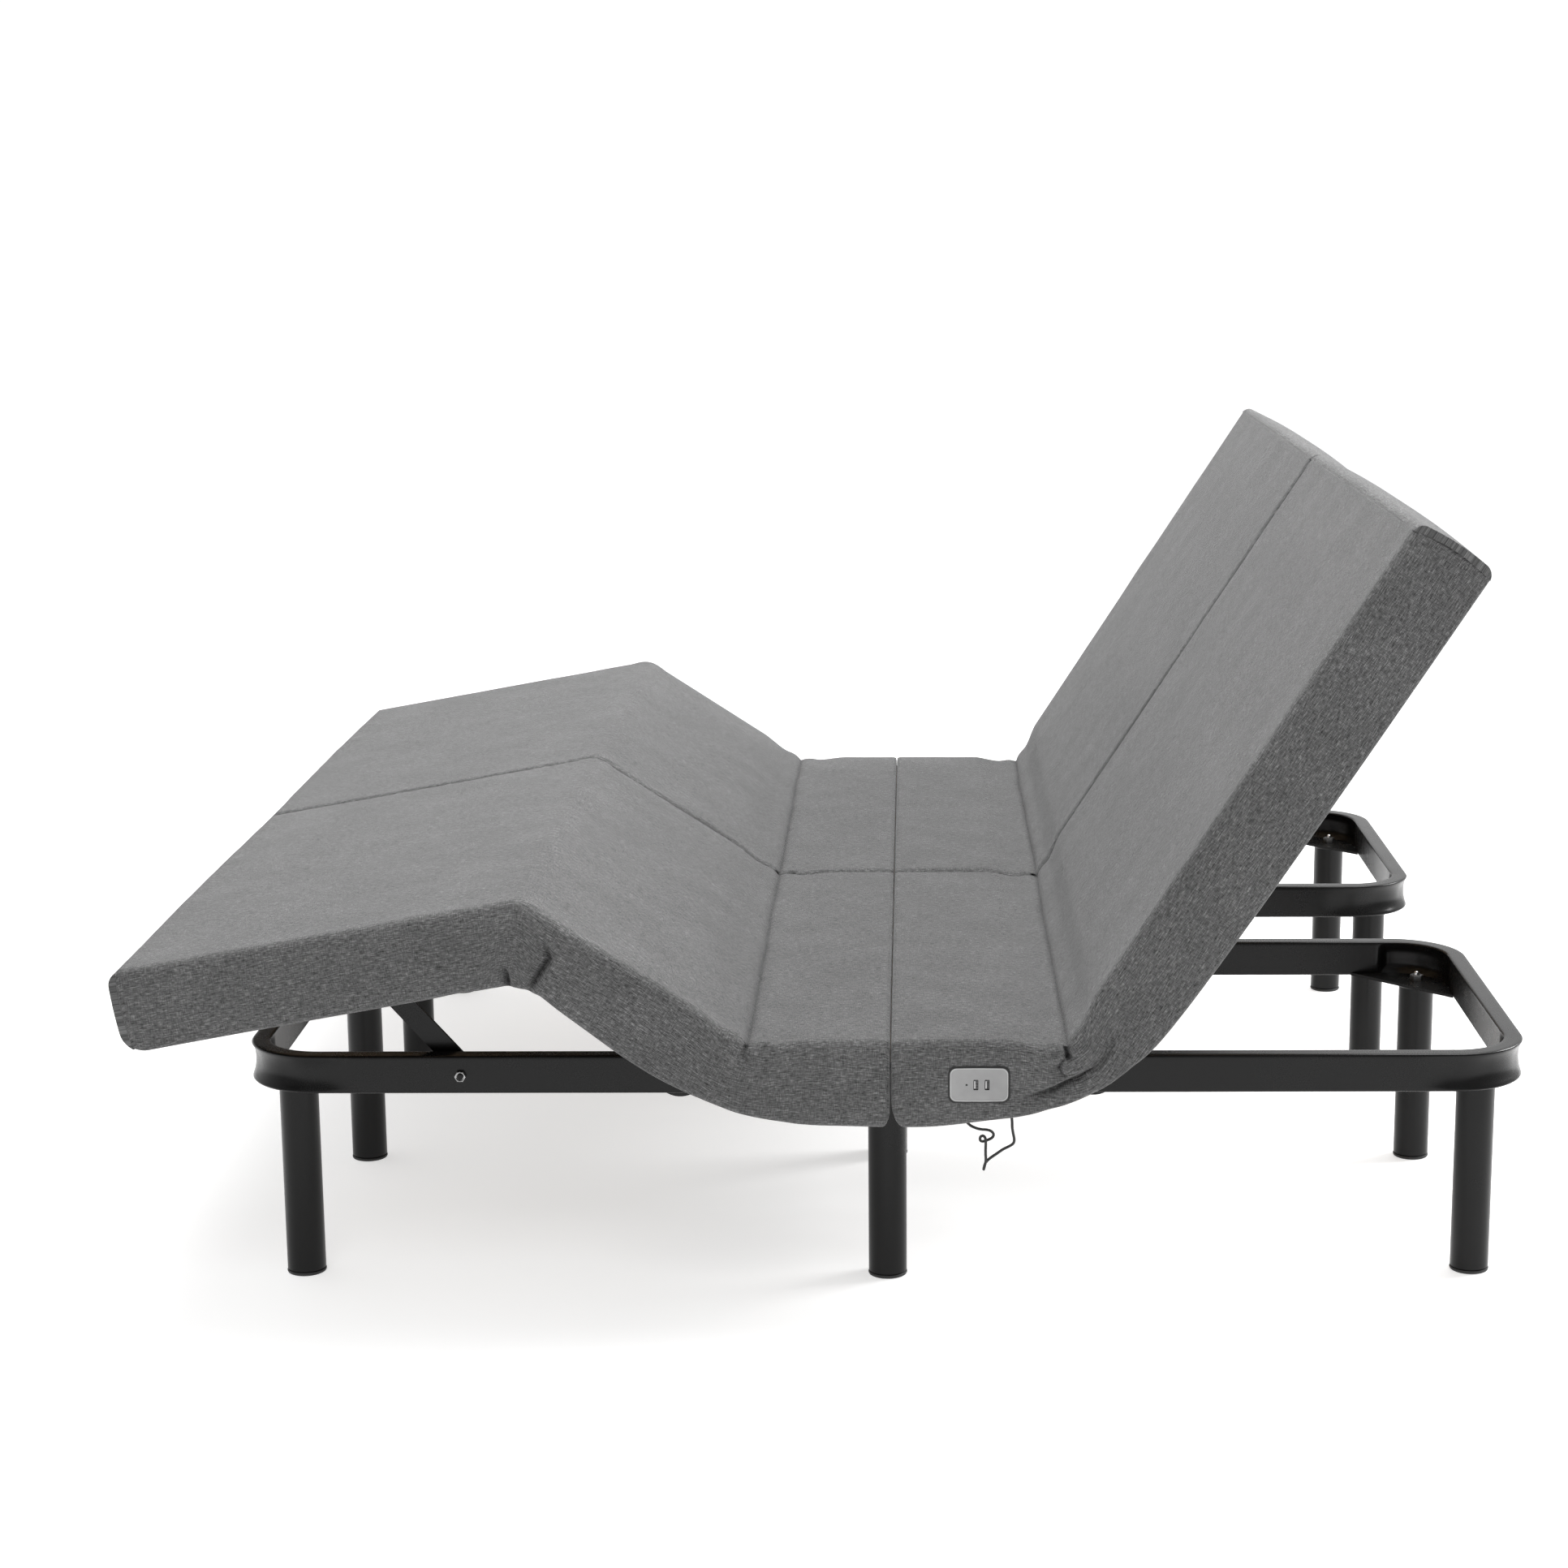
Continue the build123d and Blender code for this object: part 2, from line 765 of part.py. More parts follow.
def bar(plane, start, end, v_low, v_high, radii, bores):
    """Flat bar between two round ends, each with its own radius and bore."""
    with BuildPart() as plate:
        with BuildSketch(upright(plane, v_high)):
            with Locations(start):
                Circle(radii[0])
            with Locations(end):
                Circle(radii[1])
            make_hull()
            if bores[0]:
                with Locations(start):
                    Circle(bores[0], mode=Mode.SUBTRACT)
            if bores[1]:
                with Locations(end):
                    Circle(bores[1], mode=Mode.SUBTRACT)
        extrude(amount=v_high - v_low)
    return plate.part


def lift_arm(side, head):
    """Shaft across the frame with two lift arms, a double crank and its pins."""
    plane = floor_plane(side)
    reach = frame_width / 2 - rail_width - 0.5
    place = shaft_place(head)
    end = arm_end(head)
    crank = crank_end(head)
    y = motor_y if head else -motor_y
    pieces = [rod(plane, *place, -reach, reach, shaft_radius, shaft_radius - tube_wall)]
    for sy in (-1, 1):
        v = sy * (roller_y - arm_in)
        radii = (shaft_radius + 6, 13)
        half = arm_thickness / 2
        pieces.append(bar(plane, place, end, v - half, v + half, radii, (shaft_radius, pin_radius)))
        v_low, v_high = sorted((v - sy * half, sy * (roller_y + 14)))
        pieces.append(rod(plane, *end, v_low, v_high, pin_radius))
    for v in (y - crank_gap / 2 - crank_thickness, y + crank_gap / 2):
        radii = (shaft_radius + 6, 12)
        v_high = v + crank_thickness
        pieces.append(bar(plane, place, crank, v, v_high, radii, (shaft_radius, pin_radius)))
    pieces.append(rod(plane, *crank, y - crank_pin_reach, y + crank_pin_reach, pin_radius))
    return pieces


def rollers(side, head):
    """Plastic rollers on the pins at the ends of the lift arms."""
    radius = head_roller_radius if head else foot_roller_radius
    end = arm_end(head)
    bore = pin_radius + running_gap
    pieces = []
    for sy in (-1, 1):
        half = roller_width / 2
        v_low, v_high = sorted((sy * (roller_y - half), sy * (roller_y + half)))
        pieces.append(rod(floor_plane(side), *end, v_low, v_high, radius, bore))
    return pieces


def calf_links(side):
    """Flat bars from the rails' bolts up to the calf frame, whose slack eyes sit on its pins."""
    angle = math.radians(link_angle)
    start = (link_bolt_x, link_bolt_z)
    end = (start[0] - link_length * math.cos(angle), start[1] + link_length * math.sin(angle))
    pieces = []
    for sy in (-1, 1):
        v_low, v_high = sorted((sy * link_y, sy * (link_y + link_thickness)))
        radii = (link_end_radius, link_end_radius)
        bores = (pin_radius + 1, link_eye_radius)
        pieces.append(bar(floor_plane(side), start, end, v_low, v_high, radii, bores))
    return pieces


def calf_brackets(side):
    """Plates under the calf frame with the pins that carry the links' upper ends."""
    plane = calf_plane(side)
    pieces = []
    for sy in (-1, 1):
        v_low, v_high = sorted((sy * (link_y - 12), sy * (link_y - 6)))
        points = [
            (link_eye_u - 28, member_bottom),
            (link_eye_u - 10, link_eye_w - 10),
            (link_eye_u + 10, link_eye_w - 10),
            (link_eye_u + 28, member_bottom),
        ]
        pieces.append(sheet(plane, points, v_low, v_high))
        v_low, v_high = sorted((sy * (link_y - 6), sy * (link_y + 8)))
        pieces.append(rod(plane, link_eye_u, link_eye_w, v_low, v_high, pin_radius))
    return pieces


def actuator_axis(head):
    """Rear pivot, length to the crank pin and slope of an actuator, in the unit's floor frame."""
    pivot_x = head_pivot_x if head else foot_pivot_x
    end = crank_end(head)
    length = math.hypot(end[0] - pivot_x, end[1] - motor_pivot_z)
    slope = math.degrees(math.atan2(end[1] - motor_pivot_z, end[0] - pivot_x))
    return pivot_x, length, slope


def actuator_plane(side, head):
    """On the rear pivot, Z along the actuator towards its rod, X across the bed."""
    pivot_x, length, slope = actuator_axis(head)
    y = unit_y(side) + (motor_y if head else -motor_y)
    angle = math.radians(slope)
    return Plane(
        origin=(middle_x + pivot_x, y, motor_pivot_z),
        x_dir=(0, 1, 0),
        z_dir=(math.cos(angle), 0, math.sin(angle)),
    )


def actuator_body(side, head):
    """Gear housing, motor and outer tube of an actuator, hollow for its rod."""
    length = actuator_axis(head)[1]
    up = 1 if head else -1
    tube_end = length - actuator_tube_short
    gearbox_end = gearbox_start + gearbox[2]
    on_end = (Align.CENTER, Align.CENTER, Align.MIN)
    with BuildPart(actuator_plane(side, head)) as body:
        with Locations((0, 0, motor_tail_start)):
            Box(*motor_tail, align=on_end)
        with Locations((0, 0, gearbox_start)):
            Box(*gearbox, align=on_end)
        fillet(body.edges().filter_by(lambda e: e.length > gearbox[2] - 10), gearbox_edge)
        with Locations((0, -up * motor_drop, gearbox_end)):
            Cylinder(motor_radius, motor_length, align=on_end)
        with Locations((0, 0, gearbox_end)):
            Cylinder(actuator_tube_radius, tube_end - gearbox_end, align=on_end)
        with Locations((0, 0, rod_bore_start)):
            Cylinder(rod_radius + running_gap, tube_end, align=on_end, mode=Mode.SUBTRACT)
        with Locations(Location((0, 0, 0), (0, 90, 0))):
            Cylinder(pin_radius + running_gap, gearbox[1], mode=Mode.SUBTRACT)
    return body.part


def actuator_rod(side, head):
    """Push rod of an actuator, whose slack eye sits on the crank's pin."""
    length = actuator_axis(head)[1]
    with BuildPart(actuator_plane(side, head)) as part:
        rod_end = length - rod_eye_radius - 0.8
        with Locations((0, 0, rod_start)):
            Cylinder(rod_radius, rod_end - rod_start, align=(Align.CENTER, Align.CENTER, Align.MIN))
        with Locations(Location((0, 0, length), (0, 90, 0))):
            Cylinder(rod_eye_radius + rod_eye_wall, rod_eye_width)
            Cylinder(rod_eye_radius, 2 * rod_eye_width, mode=Mode.SUBTRACT)
    return part.part


# ---------------------------------------------------------------- nodes shared by both bases
def for_both(maker, *details):
    """One list of pieces for both bases, whether the maker gives one piece or several."""
    pieces = []
    for side in units:
        made = maker(side, *details)
        pieces += made if isinstance(made, list) else [made]
    return pieces


def at_legs(maker):
    """One piece at each leg of both bases."""
    return [maker(x, y) for side in units for x, y in leg_places(side)]


def connector_bars():
    """Flat bars under the inner rails that tie the two bases together."""
    reach = unit_pitch / 2 - frame_width / 2 + rail_width
    plane = Plane((middle_x, 0, 0))
    return [
        block(plane, (x - 20, -reach, rail_bottom - plate_thickness), (x + 20, reach, rail_bottom))
        for x in (-70, 70)
    ]


def shared_nodes():
    save("foot_frame_tubes", for_both(half_loop, False))
    save("head_frame_tubes", for_both(half_loop, True))
    save("splice_sleeves", for_both(splice_sleeves))
    save("corner_plates", for_both(corner_plates))
    save("legs", at_legs(leg))
    save("leg_nuts", at_legs(leg_nut))
    save("glides", at_legs(glide))
    save("cross_tubes", for_both(cross_tubes))
    save("actuator_clevises", for_both(clevis_plates))
    save("shaft_bearings", for_both(shaft_bearings))
    save("link_bolts", for_both(link_bolts))
    save("connector_bars", connector_bars())
    low = seat_thigh_x + board_end_gap
    high = seat_back_x - board_end_gap
    frames = []
    boards = []
    pins = []
    for side in units:
        plane = seat_plane(side)
        ears = [(seat_thigh_x, 1, True), (seat_back_x, -1, True)]
        crosses = (seat_thigh_x + seat_block_in, seat_back_x - seat_block_in)
        frames += section_frame(plane, low + 10, high - 10, crosses, ears)
        frames += seat_blocks(side)
        boards += board(plane, low, high)
        pins += hinge_pins(plane, seat_thigh_x) + hinge_pins(plane, seat_back_x)
    save("seat_frames", frames)
    save("seat_boards", boards)
    save("seat_hinge_pins", pins)
    save("seat_covers", for_both(seat_cover))
    save("usb_panels", for_both(panel_body))
    save("usb_ports", for_both(panel_ports))
    save("control_boxes", for_both(control_box))
    save("usb_lead", [usb_lead()])


# ---------------------------------------------------------------- nodes of each base
def thigh_nodes(side):
    plane = thigh_plane(side)
    length = thigh_length
    ears = [(0, -1, False), (-length, 1, False)]
    crosses = (70 - length, -75)
    tracks = (crosses[0] + member / 2, crosses[1] - member / 2)
    frame = section_frame(plane, 20 - length, -20, crosses, ears, tracks)
    save(f"{side}_thigh_frame", frame)
    save(f"{side}_thigh_board", board(plane, board_end_gap - length, -board_end_gap))
    knee_end = -length + knee_setback(cover_bottom)
    points = [
        (-length + 2, board_top),
        (-length + 2, 0),
        (knee_end, cover_bottom),
        (-seat_setback, cover_bottom),
        (-seat_setback, board_top),
    ]
    save(f"{side}_thigh_cover", cover(plane, (-length + 2, -seat_setback), points))


def calf_nodes(side):
    plane = calf_plane(side)
    inside = cover_wall - calf_length
    crosses = (-60, 45 + inside)
    frame = section_frame(plane, inside + 4, -20, crosses, [(0, -1, True)])
    half = member / 2
    for sy in (-1, 1):
        y = sy * (link_y - 9)
        low = (crosses[1] + half, y - half, member_bottom)
        high = (crosses[0] - half, y + half, board_bottom)
        frame.append(tube_between(plane, low, high, 0))
    save(f"{side}_calf_frame", frame + calf_brackets(side))
    save(f"{side}_calf_board", board(plane, inside, -board_end_gap))
    points = [
        (-2, board_top),
        (-2, 0),
        (-knee_setback(cover_bottom), cover_bottom),
        (-calf_length, cover_bottom),
        (-calf_length, board_top),
    ]
    save(f"{side}_calf_cover", cover(plane, (-calf_length, -2), points, -calf_length))
    save(f"{side}_knee_pins", hinge_pins(plane, 0))


def back_nodes(side):
    plane = back_plane(side)
    inside = back_length - cover_wall
    crosses = (80, inside - 45)
    tracks = (80 + member / 2, inside - 45 - member / 2)
    frame = section_frame(plane, 20, inside - 4, crosses, [(0, 1, False)], tracks)
    save(f"{side}_back_frame", frame)
    save(f"{side}_back_board", board(plane, board_end_gap, inside))
    points = [
        (back_setback, board_top),
        (back_setback, cover_bottom),
        (back_length, cover_bottom),
        (back_length, board_top),
    ]
    save(f"{side}_back_cover", cover(plane, (back_setback, back_length), points, back_length))


def mechanism_nodes(side):
    save(f"{side}_calf_links", calf_links(side))
    for name, head in (("head", True), ("foot", False)):
        save(f"{side}_{name}_lift_arm", lift_arm(side, head))
        save(f"{side}_{name}_rollers", rollers(side, head))
        save(f"{side}_{name}_actuator", [actuator_body(side, head)])
        save(f"{side}_{name}_actuator_rod", [actuator_rod(side, head)])


shared_nodes()
for unit in units:
    thigh_nodes(unit)
    calf_nodes(unit)
    back_nodes(unit)
    mechanism_nodes(unit)
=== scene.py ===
import bpy
import math
import numpy as np
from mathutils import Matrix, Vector
from mathutils.geometry import delaunay_2d_cdt


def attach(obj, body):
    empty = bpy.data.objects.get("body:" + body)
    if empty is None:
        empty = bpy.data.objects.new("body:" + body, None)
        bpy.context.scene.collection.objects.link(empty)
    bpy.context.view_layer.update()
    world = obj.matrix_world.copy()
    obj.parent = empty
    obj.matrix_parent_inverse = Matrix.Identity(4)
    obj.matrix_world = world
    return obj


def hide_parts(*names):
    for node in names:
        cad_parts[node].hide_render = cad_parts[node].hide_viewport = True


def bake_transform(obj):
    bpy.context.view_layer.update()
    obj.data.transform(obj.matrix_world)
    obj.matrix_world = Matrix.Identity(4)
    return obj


# Split pair of adjustable bed bases, stored with back and knees raised. The scene is in metres, and the
# dimensions below are millimetres. Most X values are counted from the middle pair of legs, at middle_x.
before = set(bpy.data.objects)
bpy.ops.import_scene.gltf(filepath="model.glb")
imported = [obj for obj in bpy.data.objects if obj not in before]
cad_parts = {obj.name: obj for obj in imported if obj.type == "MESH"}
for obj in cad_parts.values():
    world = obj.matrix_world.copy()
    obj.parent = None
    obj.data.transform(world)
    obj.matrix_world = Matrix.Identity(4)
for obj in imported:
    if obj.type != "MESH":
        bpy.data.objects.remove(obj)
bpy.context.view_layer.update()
MM = 0.001

# ---- dimensions shared with the CAD part
middle_x = 59.017
unit_pitch = 954.0
deck_half = 475.0
cover_wall = 14.0
hinge_z = 360.5
top_w = 24.0
pad_under_w = 9.0
calf_length = 512.0
thigh_length = 329.0
back_length = 779.0
thigh_angle = 33.0
calf_slope = 10.24
back_angle = 57.0
thigh_hinge_x = -177.0
back_hinge_x = 235.0
frame_half_length = 843.0
frame_half_width = 308.5
corner_radius = 100.0
rail_width = 25.4
rail_height = 50.8
rail_bottom = 266.7
leg_radius = 25.4
glide_height = 5.0
stud_reach = 17.5
link_bolt_x = -553.7
link_bolt_z = 291.0
link_nut_size = 7.6
link_nut_height = 6.0
link_stud_radius = 4.9
link_inner_nut_size = 10.2
link_inner_nut_y = 266.0
link_stud_reach = 40.0
panel_x = 116.0
panel_z = 328.5
panel_length = 72.7
panel_height = 44.0
port_width = 5.7
port_height = 13.0
port_places = (-4.0, 10.0)
lamp_place = -15.5
panel_face = 1.5
pocket_depth = 9.0
lead_diameter = 0.0035
lead_y = -935.0
SIDES = {"left": -1, "right": 1}


def unit_y(side):
    return SIDES[side] * unit_pitch / 2


# ---------------------------------------------------------------- camera
def make_camera():
    camera = bpy.data.objects.new("camera", bpy.data.cameras.new("camera"))
    camera.data.lens = 69.25
    camera.data.sensor_width = 36
    camera.data.shift_x = -0.0804
    camera.data.shift_y = 0.0327
    camera.location = (0.0912, -4.5482, 1.4238)
    pitch = math.radians(90 - 12.21)
    roll = math.radians(0.1)
    camera.rotation_euler = (pitch, roll, 0)
    bpy.context.collection.objects.link(camera)
    bpy.context.scene.camera = camera


make_camera()

# ---------------------------------------------------------------- charging lead
# X from the middle legs, Y from lead_y, and Z
lead_points = [
    (98, 1, 312), (98, 1, 301), (97.3, 0.6, 289), (98.5, 0.3, 278.5),
    (104, 0, 271), (111.4, 0, 267), (119, 0.3, 264.8), (127, 0.8, 264.4),
    (133.2, 1.4, 261.8), (135.4, 2.1, 256.8), (132.6, 2.7, 252.6), (127.5, 3, 250.2),
    (122, 2.6, 248.2), (118.3, 1.3, 249.4), (117.4, -0.2, 253.6), (119.5, -1.5, 257.2),
    (122.8, -2.2, 257.2), (124.8, -2.6, 253.6), (125, -2.8, 245.6), (124.6, -3, 235),
    (125.4, -3.2, 225.5), (123.8, -3.2, 218.5), (122.4, -2.9, 212.9), (122.6, 2.9, 212.6),
    (124, 3.3, 218.5), (126.4, 3.2, 222.6), (131.2, 2.6, 227), (139.5, 1.2, 233.3),
    (147.1, 0.5, 239.2), (154.2, 0, 242.6), (160, 0, 246.4), (161, 0, 251.6),
    (159.4, 0, 259), (158, 0, 267), (158, 0.5, 276), (156.5, 1, 285.5),
    (151.5, 1, 293), (145.8, 1, 299), (143, 1, 305.5), (143, 1, 312),
]


def make_lead(material):
    route = [Vector((middle_x + x, lead_y + dy, z)) * MM for x, dy, z in lead_points]
    data = bpy.data.curves.new("charging_lead", "CURVE")
    data.dimensions = "3D"
    spline = data.splines.new("NURBS")
    spline.points.add(len(route) - 1)
    for point, place in zip(spline.points, route):
        point.co = (*place, 1)
    spline.order_u = 3
    spline.use_endpoint_u = True
    data.resolution_u = 8
    data.bevel_depth = lead_diameter / 2
    data.bevel_resolution = 4
    data.use_fill_caps = True
    data.materials.append(material)
    lead = bpy.data.objects.new("charging_lead", data)
    bpy.context.collection.objects.link(lead)
    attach(lead, "frame")
    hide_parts("usb_lead")


# ---------------------------------------------------------------- materials
class Nodes:
    """A material's node tree, with short calls for what the finishes need."""

    def __init__(self, name, base, roughness, metallic=0.0):
        self.material = bpy.data.materials.new(name)
        self.material.use_nodes = True
        self.tree = self.material.node_tree
        self.shader = self.tree.nodes["Principled BSDF"]
        self.shader.inputs["Base Color"].default_value = (*base, 1)
        self.shader.inputs["Roughness"].default_value = roughness
        self.shader.inputs["Metallic"].default_value = metallic
        self.material.diffuse_color = (*base, 1)

    def add(self, kind, inputs=None, **settings):
        node = self.tree.nodes.new("ShaderNode" + kind)
        for name, value in settings.items():
            setattr(node, name, value)
        for name, value in (inputs or {}).items():
            if isinstance(value, bpy.types.NodeSocket):
                self.tree.links.new(value, node.inputs[name])
            else:
                node.inputs[name].default_value = value
        return node

    def place(self, scale=(1, 1, 1), attribute=None):
        """Coordinates in metres, from the object or from a mesh attribute, stretched by scale."""
        if attribute:
            source = self.add("Attribute", attribute_name=attribute).outputs["Vector"]
        else:
            source = self.add("TexCoord").outputs["Object"]
        return self.add("Mapping", {"Vector": source, "Scale": scale}).outputs["Vector"]

    def noise(self, scale, place, detail=3.0, roughness=0.6):
        inputs = {"Vector": place, "Scale": scale, "Detail": detail, "Roughness": roughness}
        return self.add("TexNoise", inputs).outputs["Fac"]

    def span(self, value, low, high, to_low, to_high):
        inputs = {"Value": value, "From Min": low, "From Max": high, "To Min": to_low, "To Max": to_high}
        return self.add("MapRange", inputs).outputs["Result"]

    def math(self, operation, a, b):
        node = self.add("Math", operation=operation)
        for socket, value in zip(node.inputs, (a, b)):
            if isinstance(value, bpy.types.NodeSocket):
                self.tree.links.new(value, socket)
            else:
                socket.default_value = value
        return node.outputs["Value"]

    def ramp(self, value, stops):
        node = self.add("ValToRGB", {"Fac": value})
        elements = node.color_ramp.elements
        while len(elements) < len(stops):
            elements.new(0.5)
        for element, (place, color) in zip(elements, stops):
            element.position = place
            element.color = (*color, 1)
        return node.outputs["Color"]

    def into(self, name, value):
        self.tree.links.new(value, self.shader.inputs[name])

    def bump(self, height, distance, strength=1.0):
        inputs = {"Height": height, "Distance": distance, "Strength": strength}
        self.into("Normal", self.add("Bump", inputs).outputs["Normal"])

    def set(self, **values):
        for name, value in values.items():
            self.shader.inputs[name.replace("_", " ")].default_value = value


def grey(level, tint=0.0):
    return (level, level, level * (1 + tint))


def heather_fabric():
    """Linen-look melange: slubs along the deck, thinner cross threads, and a fine plain weave, darkened by
    painted shade where the crease attribute is set.
    """
    m = Nodes("heather_fabric", grey(0.11), 0.88)
    slubs = m.noise(1.0, m.place((125, 760, 1), "cloth"), 2.5, 0.6)
    broad = m.noise(1.0, m.place((45, 380, 1), "cloth"), 2.0, 0.5)
    threads = m.noise(1.0, m.place((700, 130, 1), "cloth"), 2.5, 0.6)
    patches = m.noise(1.0, m.place((9, 14, 1), "cloth"), 2.0, 0.5)
    mix = m.math("ADD", m.math("MULTIPLY", slubs, 0.52), m.math("MULTIPLY", broad, 0.18))
    mix = m.math("ADD", mix, m.math("MULTIPLY", threads, 0.3))
    mix = m.math("ADD", mix, m.math("MULTIPLY", m.math("SUBTRACT", patches, 0.5), 0.08))
    # painted shade: the crease attribute darkens the cloth colour in folds, along seams and in the hinge
    # groove, standing in for their shadow
    shaded = m.math("MULTIPLY", m.add("Attribute", attribute_name="crease").outputs["Fac"], 0.14)
    m.into("Base Color", m.ramp(m.math("SUBTRACT", mix, shaded), [
        (0.3, grey(0.012)), (0.36, grey(0.028)), (0.455, grey(0.075)),
        (0.54, grey(0.118)), (0.64, grey(0.235)),
    ]))
    fine = m.place(attribute="cloth")
    warp = m.add("TexWave", {"Vector": fine, "Scale": 190.0, "Distortion": 0.6},
                 wave_type="BANDS", bands_direction="X").outputs["Fac"]
    weft = m.add("TexWave", {"Vector": fine, "Scale": 230.0, "Distortion": 0.6},
                 wave_type="BANDS", bands_direction="Y").outputs["Fac"]
    weave = m.math("MULTIPLY", m.math("ADD", warp, weft), 0.25)
    m.into("Roughness", m.span(mix, 0.35, 0.65, 0.95, 0.8))
    m.bump(m.math("ADD", weave, m.math("MULTIPLY", mix, 1.6)), 0.0011, 0.8)
    m.set(Sheen_Weight=0.22, Sheen_Roughness=0.35, Specular_IOR_Level=0.2)
    return m.material


def powder_coat(name, level, gloss):
    """Satin black powder coat: fine orange peel and slightly uneven gloss."""
    m = Nodes(name, grey(level), gloss)
    broad = m.noise(9.0, m.place())
    peel = m.noise(520.0, m.place(), 2.0, 0.5)
    m.into("Base Color", m.ramp(broad, [(0.3, grey(level * 0.8)), (0.7, grey(level * 1.25))]))
    mix = m.math("ADD", broad, m.math("MULTIPLY", peel, 0.4))
    m.into("Roughness", m.span(mix, 0.4, 1.1, gloss - 0.05, gloss + 0.08))
    m.bump(peel, 0.0001, 0.3)
    m.set(Specular_IOR_Level=0.21)
    return m.material


def plated(name, level, roughness):
    """Plated or polished steel with faint brush lines."""
    m = Nodes(name, grey(level), roughness, 1.0)
    lines = m.noise(1.0, m.place((90, 90, 1400)), 3.0, 0.6)
    cloud = m.noise(40.0, m.place())
    m.into("Base Color", m.ramp(cloud, [(0.3, grey(level * 0.82)), (0.7, grey(level * 1.1))]))
    m.into("Roughness", m.span(lines, 0.3, 0.7, roughness * 0.8, roughness * 1.35))
    m.bump(lines, 0.00006, 0.3)
    return m.material


def moulded(name, level, roughness, grain=900.0, tint=0.0):
    """Moulded plastic or rubber with a fine grain."""
    m = Nodes(name, grey(level, tint), roughness)
    texture = m.noise(grain, m.place(), 2.0, 0.5)
    cloud = m.noise(18.0, m.place())
    m.into("Base Color", m.ramp(cloud, [(0.3, grey(level * 0.85, tint)), (0.7, grey(level * 1.15, tint))]))
    m.into("Roughness", m.span(texture, 0.3, 0.7, roughness * 0.88, min(roughness * 1.12, 1)))
    m.bump(texture, 0.00015, 0.4)
    return m.material


def plywood():
    """Plywood board: long grain streaks along the deck's width, with darker pores."""
    m = Nodes("plywood", (0.32, 0.22, 0.13), 0.62)
    streaks = m.noise(1.0, m.place((55, 2.5, 55)), 5.0, 0.65)
    pores = m.noise(1.0, m.place((420, 14, 420)), 3.0, 0.7)
    mix = m.math("ADD", m.math("MULTIPLY", streaks, 0.7), m.math("MULTIPLY", pores, 0.3))
    m.into("Base Color", m.ramp(mix, [
        (0.34, (0.17, 0.105, 0.055)), (0.5, (0.30, 0.205, 0.12)), (0.66, (0.43, 0.32, 0.2)),
    ]))
    m.into("Roughness", m.span(mix, 0.35, 0.65, 0.75, 0.55))
    m.bump(mix, 0.0005, 0.4)
    return m.material


materials = {
    "heather_fabric": heather_fabric(),
    "frame_black": powder_coat("frame_black", 0.0055, 0.26),
    "leg_black": powder_coat("leg_black", 0.0055, 0.3),
    "zinc_steel": plated("zinc_steel", 0.3, 0.34),
    "bright_steel": plated("bright_steel", 0.8, 0.25),
    "worn_steel": plated("worn_steel", 0.42, 0.3),
    # dark plastic for the panel's gasket ring, slot pockets and lamps; the ring's darkness is partly painted
    # shade of the gap round the panel
    "gasket_black": moulded("gasket_black", 0.006, 0.6),
    "glide_plastic": moulded("glide_plastic", 0.02, 0.6),
    "deck_board": plywood(),
    "panel_silver": moulded("panel_silver", 0.27, 0.36, 1500.0),
    "panel_rim": moulded("panel_rim", 0.42, 0.25, 1500.0),
    "port_metal": plated("port_metal", 0.03, 0.45),
    "port_tongue": moulded("port_tongue", 0.6, 0.4),
    "control_plastic": moulded("control_plastic", 0.03, 0.5, 700.0),
    "lead_rubber": moulded("lead_rubber", 0.012, 0.55),
    "roller_plastic": moulded("roller_plastic", 0.04, 0.5),
    "actuator_plastic": moulded("actuator_plastic", 0.05, 0.45, 700.0),
    "rod_steel": plated("rod_steel", 0.72, 0.14),
}
make_lead(materials["lead_rubber"])


# ---------------------------------------------------------------- mesh helpers
def new_piece(name, points, faces, material, body=None, slot=None, replaces=(), sharp=40.0):
    """A mesh object from points in millimetres, smooth except at edges sharper than the angle given."""
    mesh = bpy.data.meshes.new(name)
    mesh.from_pydata([tuple(p) for p in np.asarray(points) * MM], [], faces)
    mesh.materials.append(materials[material])
    mesh.shade_smooth()
    mesh.set_sharp_from_angle(angle=math.radians(sharp))
    piece = bpy.data.objects.new(name, mesh)
    bpy.context.collection.objects.link(piece)
    if body:
        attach(piece, body)
    if replaces:
        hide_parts(*replaces)
    return piece


def loft(rings):
    """Points and faces of a skin over rings of equal size, capped at both ends."""
    rings = np.asarray(rings, float)
    count, size = rings.shape[:2]
    faces = []
    for i in range(count - 1):
        for j in range(size):
            k = (j + 1) % size
            faces.append((i * size + j, i * size + k, (i + 1) * size + k, (i + 1) * size + j))
    faces.append(tuple(range(size - 1, -1, -1)))
    faces.append(tuple(range((count - 1) * size, count * size)))
    return rings.reshape(-1, 3), faces


def joined(parts):
    """Several (points, faces) as one."""
    points, faces, start = [], [], 0
    for part_points, part_faces in parts:
        points.append(np.asarray(part_points, float))
        faces += [tuple(i + start for i in face) for face in part_faces]
        start += len(part_points)
    return np.concatenate(points), faces


def turned(profile, centre, steps=64):
    """A lathe piece about the vertical: profile is (radius, z) from the bottom up."""
    angles = np.linspace(0, 2 * math.pi, steps, endpoint=False)
    rings = [
        [(centre[0] + r * math.cos(a), centre[1] + r * math.sin(a), z) for a in angles]
        for r, z in profile
    ]
    return loft(rings)


